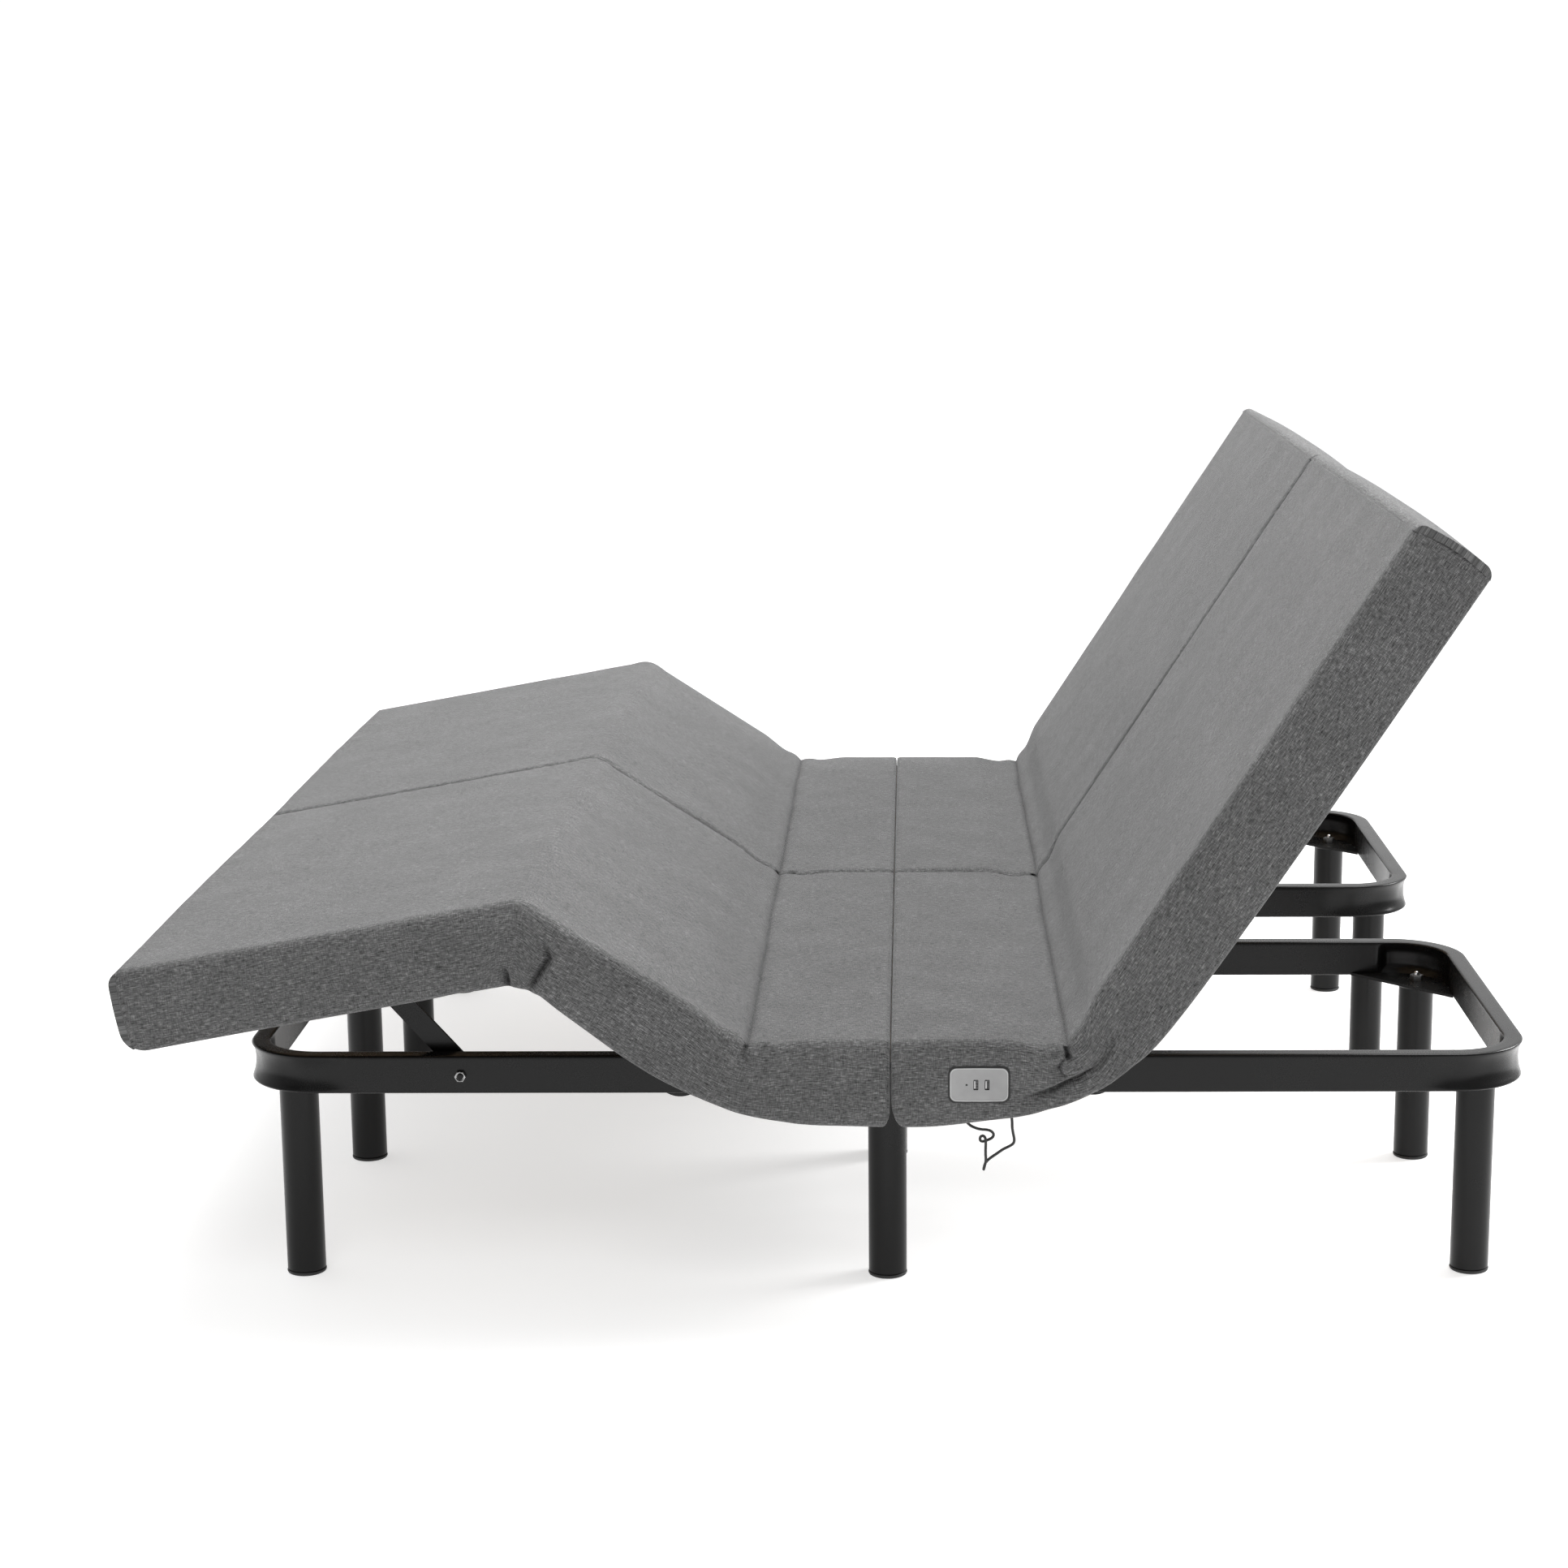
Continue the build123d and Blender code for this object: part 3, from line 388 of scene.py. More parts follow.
def smooth_line(x, points):
    """A smooth curve through a few (x, y) points."""
    px, py = (np.array(v, float) for v in zip(*points))
    slope = np.gradient(py, px)
    i = np.clip(np.searchsorted(px, x) - 1, 0, len(px) - 2)
    h = px[i + 1] - px[i]
    t = np.clip((x - px[i]) / h, 0, 1)
    a, b = py[i], py[i + 1]
    return ((2 * t**3 - 3 * t**2 + 1) * a + (t**3 - 2 * t**2 + t) * h * slope[i]
            + (3 * t**2 - 2 * t**3) * b + (t**3 - t**2) * h * slope[i + 1])


def smoothstep(t):
    t = np.clip(t, 0, 1)
    return t * t * (3 - 2 * t)


# ---------------------------------------------------------------- frame tubes with waisted bends
waist_outer = 8.0
waist_inner = 8.5
tube_edge = 3.2


def tube_ring():
    """Section of the rail about its middle, as (outward, up), with closer points on its tall walls."""
    half_w, half_h, r = rail_width / 2, rail_height / 2, tube_edge
    corners = []
    for cx, cz, start in ((1, 1, 0), (-1, 1, 90), (-1, -1, 180), (1, -1, 270)):
        arc = []
        for step in range(5):
            a = math.radians(start + step * 22.5)
            arc.append((cx * (half_w - r) + r * math.cos(a), cz * (half_h - r) + r * math.sin(a)))
        corners.append(arc)
    ring = []
    for c, between in enumerate((3, 11, 3, 11)):
        here, there = corners[c][-1], corners[(c + 1) % 4][0]
        ring += corners[c]
        for t in np.linspace(0, 1, between + 2)[1:-1]:
            ring.append((here[0] + (there[0] - here[0]) * t, here[1] + (there[1] - here[1]) * t))
    return np.array(ring)


def waist(ring, outer_share, inner_share):
    """The rail's section with its tall walls pinched towards each other."""
    half_w = rail_width / 2 - tube_edge * 0.3
    height = np.abs(ring[:, 1]) / (rail_height / 2 - 2.5)
    soft = np.clip(1 - height**2.2, 0, 1)
    full = np.clip(1 - height**4, 0, 1)
    outer = np.clip(ring[:, 0] / half_w, 0, 1) ** 4
    inner = np.clip(-ring[:, 0] / half_w, 0, 1) ** 4
    shape = ring.copy()
    shape[:, 0] += -waist_outer * outer_share * soft * outer + waist_inner * inner_share * full * inner
    return shape


def half_loop(side, sign):
    """Half of the bent rail loop of one base: straight, bend, end rail, bend, straight."""
    centre_r = corner_radius - rail_width / 2
    length = frame_half_length - corner_radius
    width = frame_half_width - corner_radius
    stations = []
    for x in np.concatenate([np.linspace(0.3, length - 76, 12), np.linspace(length - 70, length, 22)]):
        stations.append((x, width + centre_r, 90, *straight_shares(length - x)))
    for a in np.linspace(0, 90, 31)[1:]:
        outer_share = 0.5 + 0.5 * smoothstep(min(a, 90 - a) / 28)
        angle = math.radians(90 - a)
        x, y = length + centre_r * math.cos(angle), width + centre_r * math.sin(angle)
        stations.append((x, y, 90 - a, outer_share, 1.0))
    for y in np.concatenate([np.linspace(width, width - 70, 20)[1:], np.linspace(width - 78, 0, 8)]):
        stations.append((length + centre_r, y, 0, *straight_shares(width - y)))
    other = [(x, -y, -turn, outer, inner) for x, y, turn, outer, inner in reversed(stations[:-1])]
    section = tube_ring()
    rings = []
    for x, y, turn, outer, inner in stations + other:
        a = math.radians(turn)
        shape = waist(section, outer, inner)
        rings.append([(sign * (x + u * math.cos(a)), y + u * math.sin(a), v) for u, v in shape])
    rings = np.array(rings)
    rings[:, :, 0] += middle_x
    rings[:, :, 1] += unit_y(side)
    rings[:, :, 2] += rail_bottom + rail_height / 2
    return loft(rings if sign > 0 else rings[::-1])


def straight_shares(past):
    """How far the outer and inner walls are bent where a straight rail is still past mm from its corner."""
    return 0.5 * smoothstep(1 - past / 60), smoothstep(1 - (past - 2) / 14)


def make_frame():
    for name, sign in (("foot", -1), ("head", 1)):
        points, faces = joined([half_loop(side, sign) for side in SIDES])
        new_piece(f"{name}_rail_loop", points, faces, "frame_black", "frame",
                  replaces=[f"{name}_frame_tubes"], sharp=50)


def leg_centres():
    """Leg centres, read from the CAD legs' own vertices: the middle of each group of close points."""
    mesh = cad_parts["legs"].data
    flat = np.array([v.co[:2] for v in mesh.vertices]) / MM
    centres = []
    for point in flat:
        if all(np.hypot(*(point - c)) > 3 * leg_radius for c in centres):
            group = flat[np.hypot(*(flat - point).T) < 3 * leg_radius]
            centres.append(tuple((group.min(0) + group.max(0)) / 2))
    return centres


def make_legs():
    """Round legs with rolled edges, a weld bead at the plate, and a thin glide under each."""
    legs, glides, studs = [], [], []
    r = leg_radius
    for centre in leg_centres():
        top = rail_bottom - 0.2
        profile = [(r - 3, glide_height), (r - 0.9, glide_height + 0.2), (r, glide_height + 1.2)]
        profile += [(r, z) for z in np.linspace(glide_height + 8, top - 6, 12)]
        profile += [(r, top - 4.5), (r + 1.0, top - 3.4), (r + 1.9, top - 1.6), (r + 2.0, top), (r - 3, top)]
        legs.append(turned(profile, centre))
        glides.append(turned([
            (r - 5, 0), (r - 1.6, 0), (r - 0.3, 0.7), (r + 0.5, 2.2),
            (r + 0.5, 3.6), (r - 0.2, 4.6), (r - 3, 4.9),
        ], centre))
        top = rail_bottom + stud_reach
        studs.append(turned([
            (3.6, rail_bottom + 1), (3.6, top - 2.4), (3.3, top - 1.2), (2.5, top - 0.3), (1.2, top),
        ], centre, 24))
    new_piece("leg_studs", *joined(studs), "bright_steel", "frame", slot="zinc_steel")
    new_piece("round_legs", *joined(legs), "leg_black", "frame", replaces=["legs"])
    new_piece("leg_glides", *joined(glides), "glide_plastic", "frame", replaces=["glides"])


def hexagon(centre, size, y, roundness=0.0):
    """A hexagon as 24 points; roundness 1 makes it a circle of the width across its flats."""
    flat = size * math.cos(math.pi / 6)
    points = []
    for a in np.radians(np.arange(0, 360, 15)):
        from_flat = a % (math.pi / 3) - math.pi / 6
        reach = flat / math.cos(from_flat) * (1 - roundness) + flat * roundness
        points.append((centre[0] + reach * math.cos(a), y, centre[1] + reach * math.sin(a)))
    return points


def make_bolts():
    """Nut and bolt end on each rail for the calf links: a chamfered hexagon round a recessed black stud."""
    nuts, studs = [], []
    place = (middle_x + link_bolt_x, link_bolt_z)
    for side in SIDES:
        for sy in (-1, 1):
            face = unit_y(side) + sy * frame_half_width
            size, height = link_nut_size, link_nut_height
            profile = [
                (size, 0.0, 0.0), (size, 0.0, height - 0.8), (size * 0.98, 0.3, height - 0.3),
                (size * 0.9, 0.7, height), (size * 0.82, 1.0, height - 0.2), (size * 0.8, 1.0, 2.0),
            ]
            rings = [hexagon(place, across, face + sy * out, roundness) for across, roundness, out in profile]
            nuts.append(loft(rings if sy > 0 else rings[::-1]))
            shaft = [hexagon(place, r, face + sy * out, 1.0) for r, out in (
                (link_stud_radius, -link_stud_reach), (link_stud_radius, 4.4), (4.4, 5.0), (2.6, 5.3))]
            studs.append(loft(shaft if sy > 0 else shaft[::-1]))
            inner = unit_y(side) + sy * link_inner_nut_y
            size = link_inner_nut_size
            rings = [hexagon(place, across, inner + sy * out, roundness) for across, roundness, out in (
                (size - 0.8, 0.5, 0.0), (size, 0.0, 0.8), (size, 0.0, 6.2), (size - 0.8, 0.5, 7.0))]
            nuts.append(loft(rings if sy > 0 else rings[::-1]))
    new_piece("link_nuts", *joined(nuts), "worn_steel", "frame", slot="zinc_steel",
              replaces=["link_bolts"], sharp=30)
    new_piece("link_studs", *joined(studs), "leg_black", "frame", slot="zinc_steel", replaces=["link_bolts"])


# ---------------------------------------------------------------- upholstered covers
top_radius = 14.0
hem_radius = 6.9
crown_height = 3.0
top_unevenness = 0.9
side_unevenness = 0.7
puff = 1.4
inner_swell = 1.5
bow_length = 45.0
seam_depth = 1.1
seam_width = 1.0
hinge_groove_width = 6.0
hinge_ridge_height = 2.2
hinge_ridge_width = 13.0
hinge_ridge_place = 20.0
# painted shade in folds: none until a fold is shade_from mm deep, full shade_span mm deeper
shade_from = 2.2
shade_span = 8.0
slab_rounding = 2.0
edge_step = 1.0
near_step = 2.2
plain_step = 8.0


def cover_ring(top, bottom, inset):
    """Section of a cover, across the deck and up: outer skin, hem and inner skin, with their normals."""
    half, inner = deck_half, deck_half - cover_wall
    points, normals = [], []

    def put(y, w, ny, nw):
        points.append((y, w))
        normals.append((ny, nw))

    r = top_radius
    for y in np.concatenate([np.linspace(0, half - r - 40, 16), np.linspace(half - r - 40, half - r, 7)[1:]]):
        put(y, top, 0, 1)
    for a in np.linspace(90, 0, 7)[1:]:
        c, s = math.cos(math.radians(a)), math.sin(math.radians(a))
        put(half - r + r * c, top - r + r * s, c, s)
    for w in np.linspace(top - r, bottom + hem_radius, 38)[1:]:
        put(half, w, 1, 0)
    for a in np.linspace(0, -180, 10)[1:]:
        c, s = math.cos(math.radians(a)), math.sin(math.radians(a))
        put(half - hem_radius + hem_radius * c, bottom + hem_radius + hem_radius * s, c, s)
    under = min(pad_under_w, top - 8)
    for w in np.linspace(bottom + hem_radius, under, 8)[1:]:
        put(inner, w, -1, 0)
    for y in np.linspace(inner, 0, 7)[1:]:
        put(y, under, 0, -1)
    points, normals = np.array(points), np.array(normals)
    points = points - inset * normals
    mirrored = slice(-2, 0, -1)
    flip = np.array([-1, 1])
    return (np.concatenate([points, points[mirrored] * flip]),
            np.concatenate([normals, normals[mirrored] * flip]))


def cloth_places(ring):
    """Distance round a section from the middle of its top, for the weave."""
    steps = np.hypot(*np.diff(ring, axis=0).T)
    along = np.concatenate([[0], np.cumsum(steps)])
    half = len(ring) // 2 + 1
    along[half:] = -along[1:len(ring) - half + 1][::-1]
    return along


def bent(flat, low_turn, high_turn, reach):
    middle_turn = math.radians((low_turn + high_turn) / 2)
    direction = np.array([math.cos(middle_turn), math.sin(middle_turn)])
    low, high = np.zeros(len(flat)), np.ones(len(flat))
    for _ in range(32):
        w = (low + high) / 2
        turned_points = turn_by(flat, np.radians(low_turn + (high_turn - low_turn) * w))
        ahead = smoothstep((turned_points @ direction + reach) / (2 * reach)) > w
        low = np.where(ahead, w, low)
        high = np.where(ahead, high, w)
    return turned_points, direction


def turn_by(points, angles):
    c, s = np.cos(angles), np.sin(angles)
    return np.stack([points[:, 0] * c - points[:, 1] * s, points[:, 0] * s + points[:, 1] * c], 1)


def ripple(a, b, seed):
    """Gentle unevenness between -1 and 1, smooth over the deck."""
    total = 0.0
    rng = np.random.default_rng(seed)
    for wavelength, weight in ((310.0, 0.45), (140.0, 0.33), (75.0, 0.22)):
        for _ in range(2):
            turn, phase = rng.uniform(0, 2 * math.pi, 2)
            total = total + 0.5 * weight * np.sin(
                2 * math.pi * (a * math.cos(turn) + b * math.sin(turn)) / wavelength + phase)
    return total


def crease(x, z, path, depth, sharp, soft, rise=0.0, start=0.35, end=0.0):
    """A fold along a path in the stored pose: steep on the left of the path with a raised lip, and easing
    out on its right. It fades in and out over the given shares of its length."""
    path = np.array(path, float)
    best = np.full(len(x), 1e9)
    share, side = np.zeros(len(x)), np.zeros(len(x))
    steps = np.hypot(*np.diff(path, axis=0).T)
    starts = np.concatenate([[0], np.cumsum(steps)]) / steps.sum()
    for i in range(len(path) - 1):
        a, d = path[i], path[i + 1] - path[i]
        along, across = x - a[0], z - a[1]
        t = np.clip((along * d[0] + across * d[1]) / (d @ d), 0, 1)
        gap = np.hypot(along - t * d[0], across - t * d[1])
        nearer = gap < best
        best = np.where(nearer, gap, best)
        share = np.where(nearer, starts[i] + t * (starts[i + 1] - starts[i]), share)
        side = np.where(nearer, d[0] * across - d[1] * along, side)
    fade = smoothstep(share / start) if start else 1.0
    if end:
        fade = fade * smoothstep((1 - share) / end)
    groove = -depth * np.exp(-(best / np.where(side > 0, sharp, soft)) ** 2)
    lip = rise * np.exp(-((best - 2.4 * sharp) / (1.8 * sharp)) ** 2) * (side > 0)
    return fade * (groove + lip)


def mound(x, z, centre, radii, height, turn=0.0):
    """A soft swelling or hollow."""
    c, s = math.cos(math.radians(turn)), math.sin(math.radians(turn))
    dx, dz = x - centre[0], z - centre[1]
    u, v = dx * c + dz * s, -dx * s + dz * c
    return height * np.exp(-(u / radii[0]) ** 2 - (v / radii[1]) ** 2)


def knee_folds(x, z):
    """Bunched cloth under the knee: two creases with a soft bag between them."""
    left = [(-464, 438), (-464, 458.7), (-465.5, 470.6), (-470, 481.3), (-480, 490)]
    right = [
        (-444, 529), (-426.4, 518.5), (-414.8, 503), (-412.1, 491), (-419.4, 480.1), (-428, 467), (-440, 446),
    ]
    total = crease(x, z, left[::-1], 10.5, 2.4, 6.0, 2.2, 0.6)
    total += crease(x, z, right, 9.0, 2.8, 6.5, 3.0, 0.6)
    total += mound(x, z, (-445, 474), (11, 24), 3.5)
    total += mound(x, z, (-434, 505), (12, 12), 2.0)
    total += mound(x, z, (-436, 453), (5, 4), 4.0)
    total += mound(x, z, (-390, 500), (14, 26), 1.6, -20)
    total += mound(x, z, (-496, 472), (12, 20), 1.4)
    return total


def thigh_folds(x, z):
    """Puckers where the thigh section meets the seat."""
    total = crease(x, z, [(-178, 352), (-177.5, 364), (-173.8, 379), (-168, 392)], 9.5, 2.4, 5.0, 2.0, 0.8)
    total += crease(x, z, [(-141, 352), (-146, 366), (-151, 380), (-153, 390)], 3.6, 5.0, 8.0, 1.2, 0.6)
    total += mound(x, z, (-165, 362), (5, 17), 3.2, 4)
    total += mound(x, z, (-136, 368), (8, 16), 1.8, 14)
    total += mound(x, z, (-196, 374), (12, 14), 2.4, -30)
    total += mound(x, z, (-160, 334), (34, 9), -1.3, -14)
    return total


def back_folds(x, z):
    """The slit and the long curved fold where the back section meets the seat."""
    total = crease(x, z, [(227, 359), (225, 366), (221.7, 377.3), (214, 394)], 11.0, 2.4, 4.2, 1.8, 0.1)
    along_hem = [
        (140, 308.5), (175, 313.5), (190.2, 317.3), (209.4, 323.9),
        (224.7, 332), (241.3, 340), (255.4, 346.7), (266, 354),
    ]
    total += crease(x, z, along_hem, 9.0, 2.8, 8.0, 2.2, 0.6, 0.25)
    rising = [(296, 412), (288, 396), (279.5, 371), (268, 355.5), (255.4, 346.7)]
    total += crease(x, z, rising, 5.0, 3.4, 10.0, 1.2, 0.6)
    pucker = [(228, 362), (220, 358), (216.5, 350), (219, 342.5), (226, 340), (232, 344), (233, 352)]
    total += crease(x, z, pucker, 5.5, 1.8, 2.6, 0.5, 0.1, 0.5)
    total += mound(x, z, (224.7, 351), (6.0, 8.0), 5.5)
    total += mound(x, z, (224.9, 364.5), (9, 3.4), -4.0)
    total += mound(x, z, (213.5, 350), (5, 12), -2.6)
    total += mound(x, z, (200, 348), (14, 16), 2.6)
    total += mound(x, z, (248, 366), (14, 22), 3.4, -30)
    return total


def side_variation(side, outward):
    """Small shifts, so that the four sides of the two bases don't fold alike; the near side has none."""
    index = (0 if side == "left" else 2) + (0 if outward < 0 else 1)
    rng = np.random.default_rng(40 + index)
    shift = rng.uniform(-1, 1, 3) * (0 if index == 0 else 1)
    return 5 * shift[0], 3 * shift[1], 1 + 0.25 * shift[2]


def panel_clearance(x, z):
    """0 behind a charging panel, where the cover lies flat, rising to 1 around it."""
    outside = np.maximum(np.abs(x - panel_x) - panel_length / 2, np.abs(z - panel_z) - panel_height / 2)
    return smoothstep((outside - 2) / 14)


class Cover:
    """One continuous padded cover that bends over one hinge line."""

    def __init__(self, name, side, hinge, turns, reach, span, bottom_line, folds, ends, groove):
        self.name, self.side = name, side
        self.hinge, self.turns, self.reach = hinge, turns, reach
        self.span, self.bottom_line = span, bottom_line
        self.folds, self.ends, self.groove = folds, ends, groove

    def corner(self, s):
        """Top and bottom of the outline at s, with the corners of its ends rounded."""
        bottom = smooth_line(np.array([s]), self.bottom_line)[0]
        top = top_w
        for end, inward in ((0, 1), (1, -1)):
            rule = self.ends[end]
            if not rule:
                continue
            d = (s - rule["outline"]) * inward
            for key in ("low", "high"):
                a, b = rule[key]
                if d >= a:
                    continue
                lift = b * (1 - math.sqrt(max(0.0, 1 - ((a - max(d, 0)) / a) ** 2)))
                if key == "low":
                    bottom += lift
                else:
                    top -= lift
        return top, bottom

    def stations(self):
        """Places along the cover, close together at the hinge and at rounded ends."""
        low, high = self.span
        places, s = [low], low
        while s < high - 1e-6:
            near = min(abs(s + 12), abs(s)) < 76
            ending = (self.ends[0] and s - low < 32) or (self.ends[1] and high - s < 42)
            edge = (self.ends[0] and s - low < 9) or (self.ends[1] and high - s < 10)
            s = min(high, s + (edge_step if edge else near_step if near or ending else plain_step))
            places.append(s)
        return places

    def build(self):
        low, high = self.span
        rings, cloth, shades = [], [], []
        base = self.hinge[2]
        for s in self.stations():
            top, bottom = self.corner(s)
            inset = 0.0
            # painted shade along each end's seam: the seam line darkens the cloth colour, standing in for the
            # shadow in the seam's groove
            seam = painted_seam_shade = 0.0
            for end, distance in ((0, s - low), (1, high - s)):
                rule = self.ends[end]
                if rule and distance < rule["edge"]:
                    r = rule["edge"]
                    inset = max(inset, r - math.sqrt(max(0.0, r * r - (r - distance) ** 2)))
                if rule:
                    line = math.exp(-((distance - rule["seam"]) / seam_width) ** 2)
                    seam += line
                    painted_seam_shade += line * rule["seam_shade_strength"]
            inset += seam_depth * seam
            ring, normals = cover_ring(top, bottom, inset)
            around = cloth_places(ring)
            y, w = ring.T.copy()
            crown = crown_height * np.clip(1 - (np.abs(y) / (deck_half - 8)) ** 2.4, 0, 1)
            soft = ripple(base + s, around, 7 if self.side == "left" else 8)
            rise = np.clip(normals[:, 1], 0, 1)
            w += rise * (crown + top_unevenness * soft * (np.abs(y) < deck_half - 12))
            shade = np.full(len(w), painted_seam_shade)
            if self.groove:
                meander = 2.5 * ripple(around, 0 * around, 3)
                groove = rise * np.exp(-(np.abs(s - meander) / hinge_groove_width) ** 1.4)
                w -= self.groove * groove
                # painted shade in the hinge groove: darkens the cloth colour there
                shade += 0.7 * groove ** 2
                for place in (-hinge_ridge_place, hinge_ridge_place):
                    w += rise * hinge_ridge_height * np.exp(-((s - place) / hinge_ridge_width) ** 2)
            side_share = np.clip(np.abs(normals[:, 0]), 0, 1) * (np.abs(y) > deck_half - hem_radius)
            middle = np.clip((w - bottom) / (top - bottom), 0, 1)
            along = s + self.bow(s, w, bottom, top)
            rest, direction = bent(np.stack([along, w], 1), *self.turns, self.reach)
            x, z = rest[:, 0] + self.hinge[0], rest[:, 1] + self.hinge[1]
            swelling = puff * np.sin(math.pi * middle) + side_unevenness * soft
            y += np.sign(y) * side_share * panel_clearance(x, z) * swelling
            for outward in (-1, 1):
                dx, dz, scale = side_variation(self.side, outward)
                here = side_share * (np.sign(y) == outward)
                fold = here * self.folds(x + dx, z + dz) * panel_clearance(x, z)
                y += outward * scale * fold
                # painted shade: fold depth darkens the cloth colour, standing in for the fold's shadow
                shade += np.clip(-fold - shade_from, 0, shade_span) / shade_span
            inner_wall = (np.sign(y) == -SIDES[self.side]) & (np.abs(y) > deck_half)
            y = np.where(inner_wall, np.clip(y, -deck_half - inner_swell, deck_half + inner_swell), y)
            rings.append(np.stack([x + middle_x, y + unit_y(self.side), z], 1))
            cloth.append(np.stack([np.full(len(y), base + s), around, 0 * y], 1))
            shades.append(np.clip(shade, 0, 1))
        self.direction = direction
        parts = [loft(rings)]
        places = [np.concatenate(cloth)]
        for end, sign in ((0, 1), (1, -1)):
            if self.ends[end] and self.ends[end].get("slab"):
                ring_points, ring_places = self.slab(end, sign)
                parts.append(ring_points)
                places.append(ring_places)
                shades.append(np.zeros(len(ring_places)))
        points, faces = joined(parts)
        piece = new_piece(self.name, points, faces, "heather_fabric", sharp=62)
        attribute = piece.data.attributes.new("cloth", "FLOAT_VECTOR", "POINT")
        attribute.data.foreach_set("vector", (np.concatenate(places) * MM).astype(np.float32).ravel())
        # the crease attribute carries the painted shade of folds, seams and the hinge groove to the fabric
        # colour
        attribute = piece.data.attributes.new("crease", "FLOAT", "POINT")
        attribute.data.foreach_set("value", np.concatenate(shades).astype(np.float32))
        return piece

    def bow(self, s, w, bottom, top):
        """How far the cover's free end swells outward at mid-height, easing off along the cover."""
        total = np.zeros(len(w))
        for end, outward in ((0, -1), (1, 1)):
            rule = self.ends[end]
            if rule and rule.get("bow"):
                nearness = smoothstep(np.array(1 - abs(s - rule["outline"]) / bow_length))
                share = np.clip((w - bottom) / (top - bottom), 0, 1)
                total += outward * rule["bow"] * nearness * np.sin(math.pi * share)
        return total

    def slab(self, end, sign):
        """Padded end wall: its outline along the deck and up, drawn out across the deck."""
        rule = self.ends[end]
        edge = rule["outline"]
        thick = rule["slab"]
        bottom = smooth_line(np.array([edge]), self.bottom_line)[0]
        outline = []
        (la, lb), (ha, hb) = rule["low"], rule["high"]
        for a in np.linspace(math.asin((la - min(thick, la)) / la), math.pi / 2, 9):
            outline.append((la - la * math.sin(a), bottom + lb - lb * math.cos(a)))
        for w in np.linspace(bottom + lb, top_w - hb, 16)[1:-1]:
            outline.append((0, w))
        for a in np.linspace(math.pi / 2, math.asin((ha - min(thick, ha)) / ha), 9):
            outline.append((ha - ha * math.sin(a), top_w - hb + hb * math.cos(a)))
        for w in np.linspace(outline[-1][1], outline[0][1], 12)[1:-1]:
            outline.append((thick, w))
        outline = np.array(outline)
        centre = np.array([thick / 2, (outline[:, 1].min() + outline[:, 1].max()) / 2])
        half = np.array([thick / 2, (outline[:, 1].max() - outline[:, 1].min()) / 2])
        reach = deck_half - 0.4
        r = slab_rounding
        rounding = [(r * (1 - math.cos(a)), r * (1 - math.sin(a))) for a in np.linspace(0, math.pi / 2, 7)]
        stations = [(-reach + d, i) for d, i in rounding]
        stations += [(y, 0) for y in np.linspace(-reach + 3 * r, reach - 3 * r, 30)]
        stations += [(reach - d, i) for d, i in reversed(rounding)]
        rings, places = [], []
        for y, inset in stations:
            shape = centre + (outline - centre) * (1 - inset / half)
            up = (shape[:, 1] - bottom) / (top_w - bottom)
            swell = rule["bulge"] * (1 - abs(y / deck_half) ** 3) * np.sin(math.pi * up)
            d = shape[:, 0] - swell * np.clip(1 - shape[:, 0] / thick, 0, 1)
            bow = self.bow(edge, shape[:, 1], bottom, top_w)
            flat = np.stack([edge + sign * d + bow, shape[:, 1]], 1)
            rest, _ = bent(flat, *self.turns, self.reach)
            across = np.full(len(flat), y + unit_y(self.side))
            along = rest[:, 0] + self.hinge[0] + middle_x
            rings.append(np.stack([along, across, rest[:, 1] + self.hinge[1]], 1))
            places.append(np.stack([np.full(len(flat), y), flat[:, 1], 0 * flat[:, 1]], 1))
        return loft(rings if sign > 0 else rings[::-1]), np.concatenate(places if sign > 0 else places[::-1])


turn = math.radians(thigh_angle)
knee_x = thigh_hinge_x - thigh_length * math.cos(turn)
knee_z = hinge_z + thigh_length * math.sin(turn)
mid_thigh = 164.0
slab_lap = 9.0
split_x = 6.0
split_half_gap = 0.3
# each end rule's seam value places its seam, and the value after it sets how much painted shade darkens the
# cloth along that seam
foot_end = {
    "outline": -calf_length, "low": (28.0, 28.0), "high": (18.0, 18.0), "edge": 2.0,
    "slab": 12.0, "bulge": 2.0, "bow": 2.0, "seam": 1.0, "seam_shade_strength": 0.55,
}
head_end = {
    "outline": back_length, "low": (14.0, 14.0), "high": (14.0, 12.0), "edge": 2.0,
    "slab": 12.0, "bulge": 5.0, "bow": 4.5, "seam": 1.0, "seam_shade_strength": 0.75,
}
seat_end = {"high": (3.0, 3.0), "edge": 4.0, "seam": 3.4, "seam_shade_strength": 0.2}
seat_foot_end = dict(seat_end, outline=split_x - split_half_gap - thigh_hinge_x, low=(11.0, 28.0))
seat_head_end = dict(seat_end, outline=split_x + split_half_gap - back_hinge_x, low=(17.0, 38.0))
calf_hem = [
    (-512, -82.2), (-400, -81.4), (-130, -80.8), (-66, -81), (-44, -85.5), (-22, -88.4), (8, -86),
    (24, -83.2), (41, -78.3), (58, -71), (74, -68.4), (91, -70.2), (105, -71.8), (130, -73.8), (164, -76.5),
]
thigh_hem = [
    (-165, -76.5), (-135, -78.8), (-106, -79.6), (-78, -79.4), (-55, -77.4), (-37, -73.8), (-22, -70),
    (-8, -68.4), (5, -69.8), (21, -73.4), (39, -78.8), (60, -83.6), (85, -86), (121, -87.2), (182, -88.9),
]
back_hem = [
    (-228, -88.9), (-180, -88.4), (-143, -85), (-119, -81.8), (-95, -79), (-70, -75.9), (-46, -70.6),
    (-25, -63), (1, -51), (13, -56.4), (24, -63), (35, -68), (47, -71.8), (62, -75.2), (85, -78.4),
    (108, -80.2), (134, -81.8), (160, -82.9), (300, -86.4), (443, -88), (779, -88.6),
]


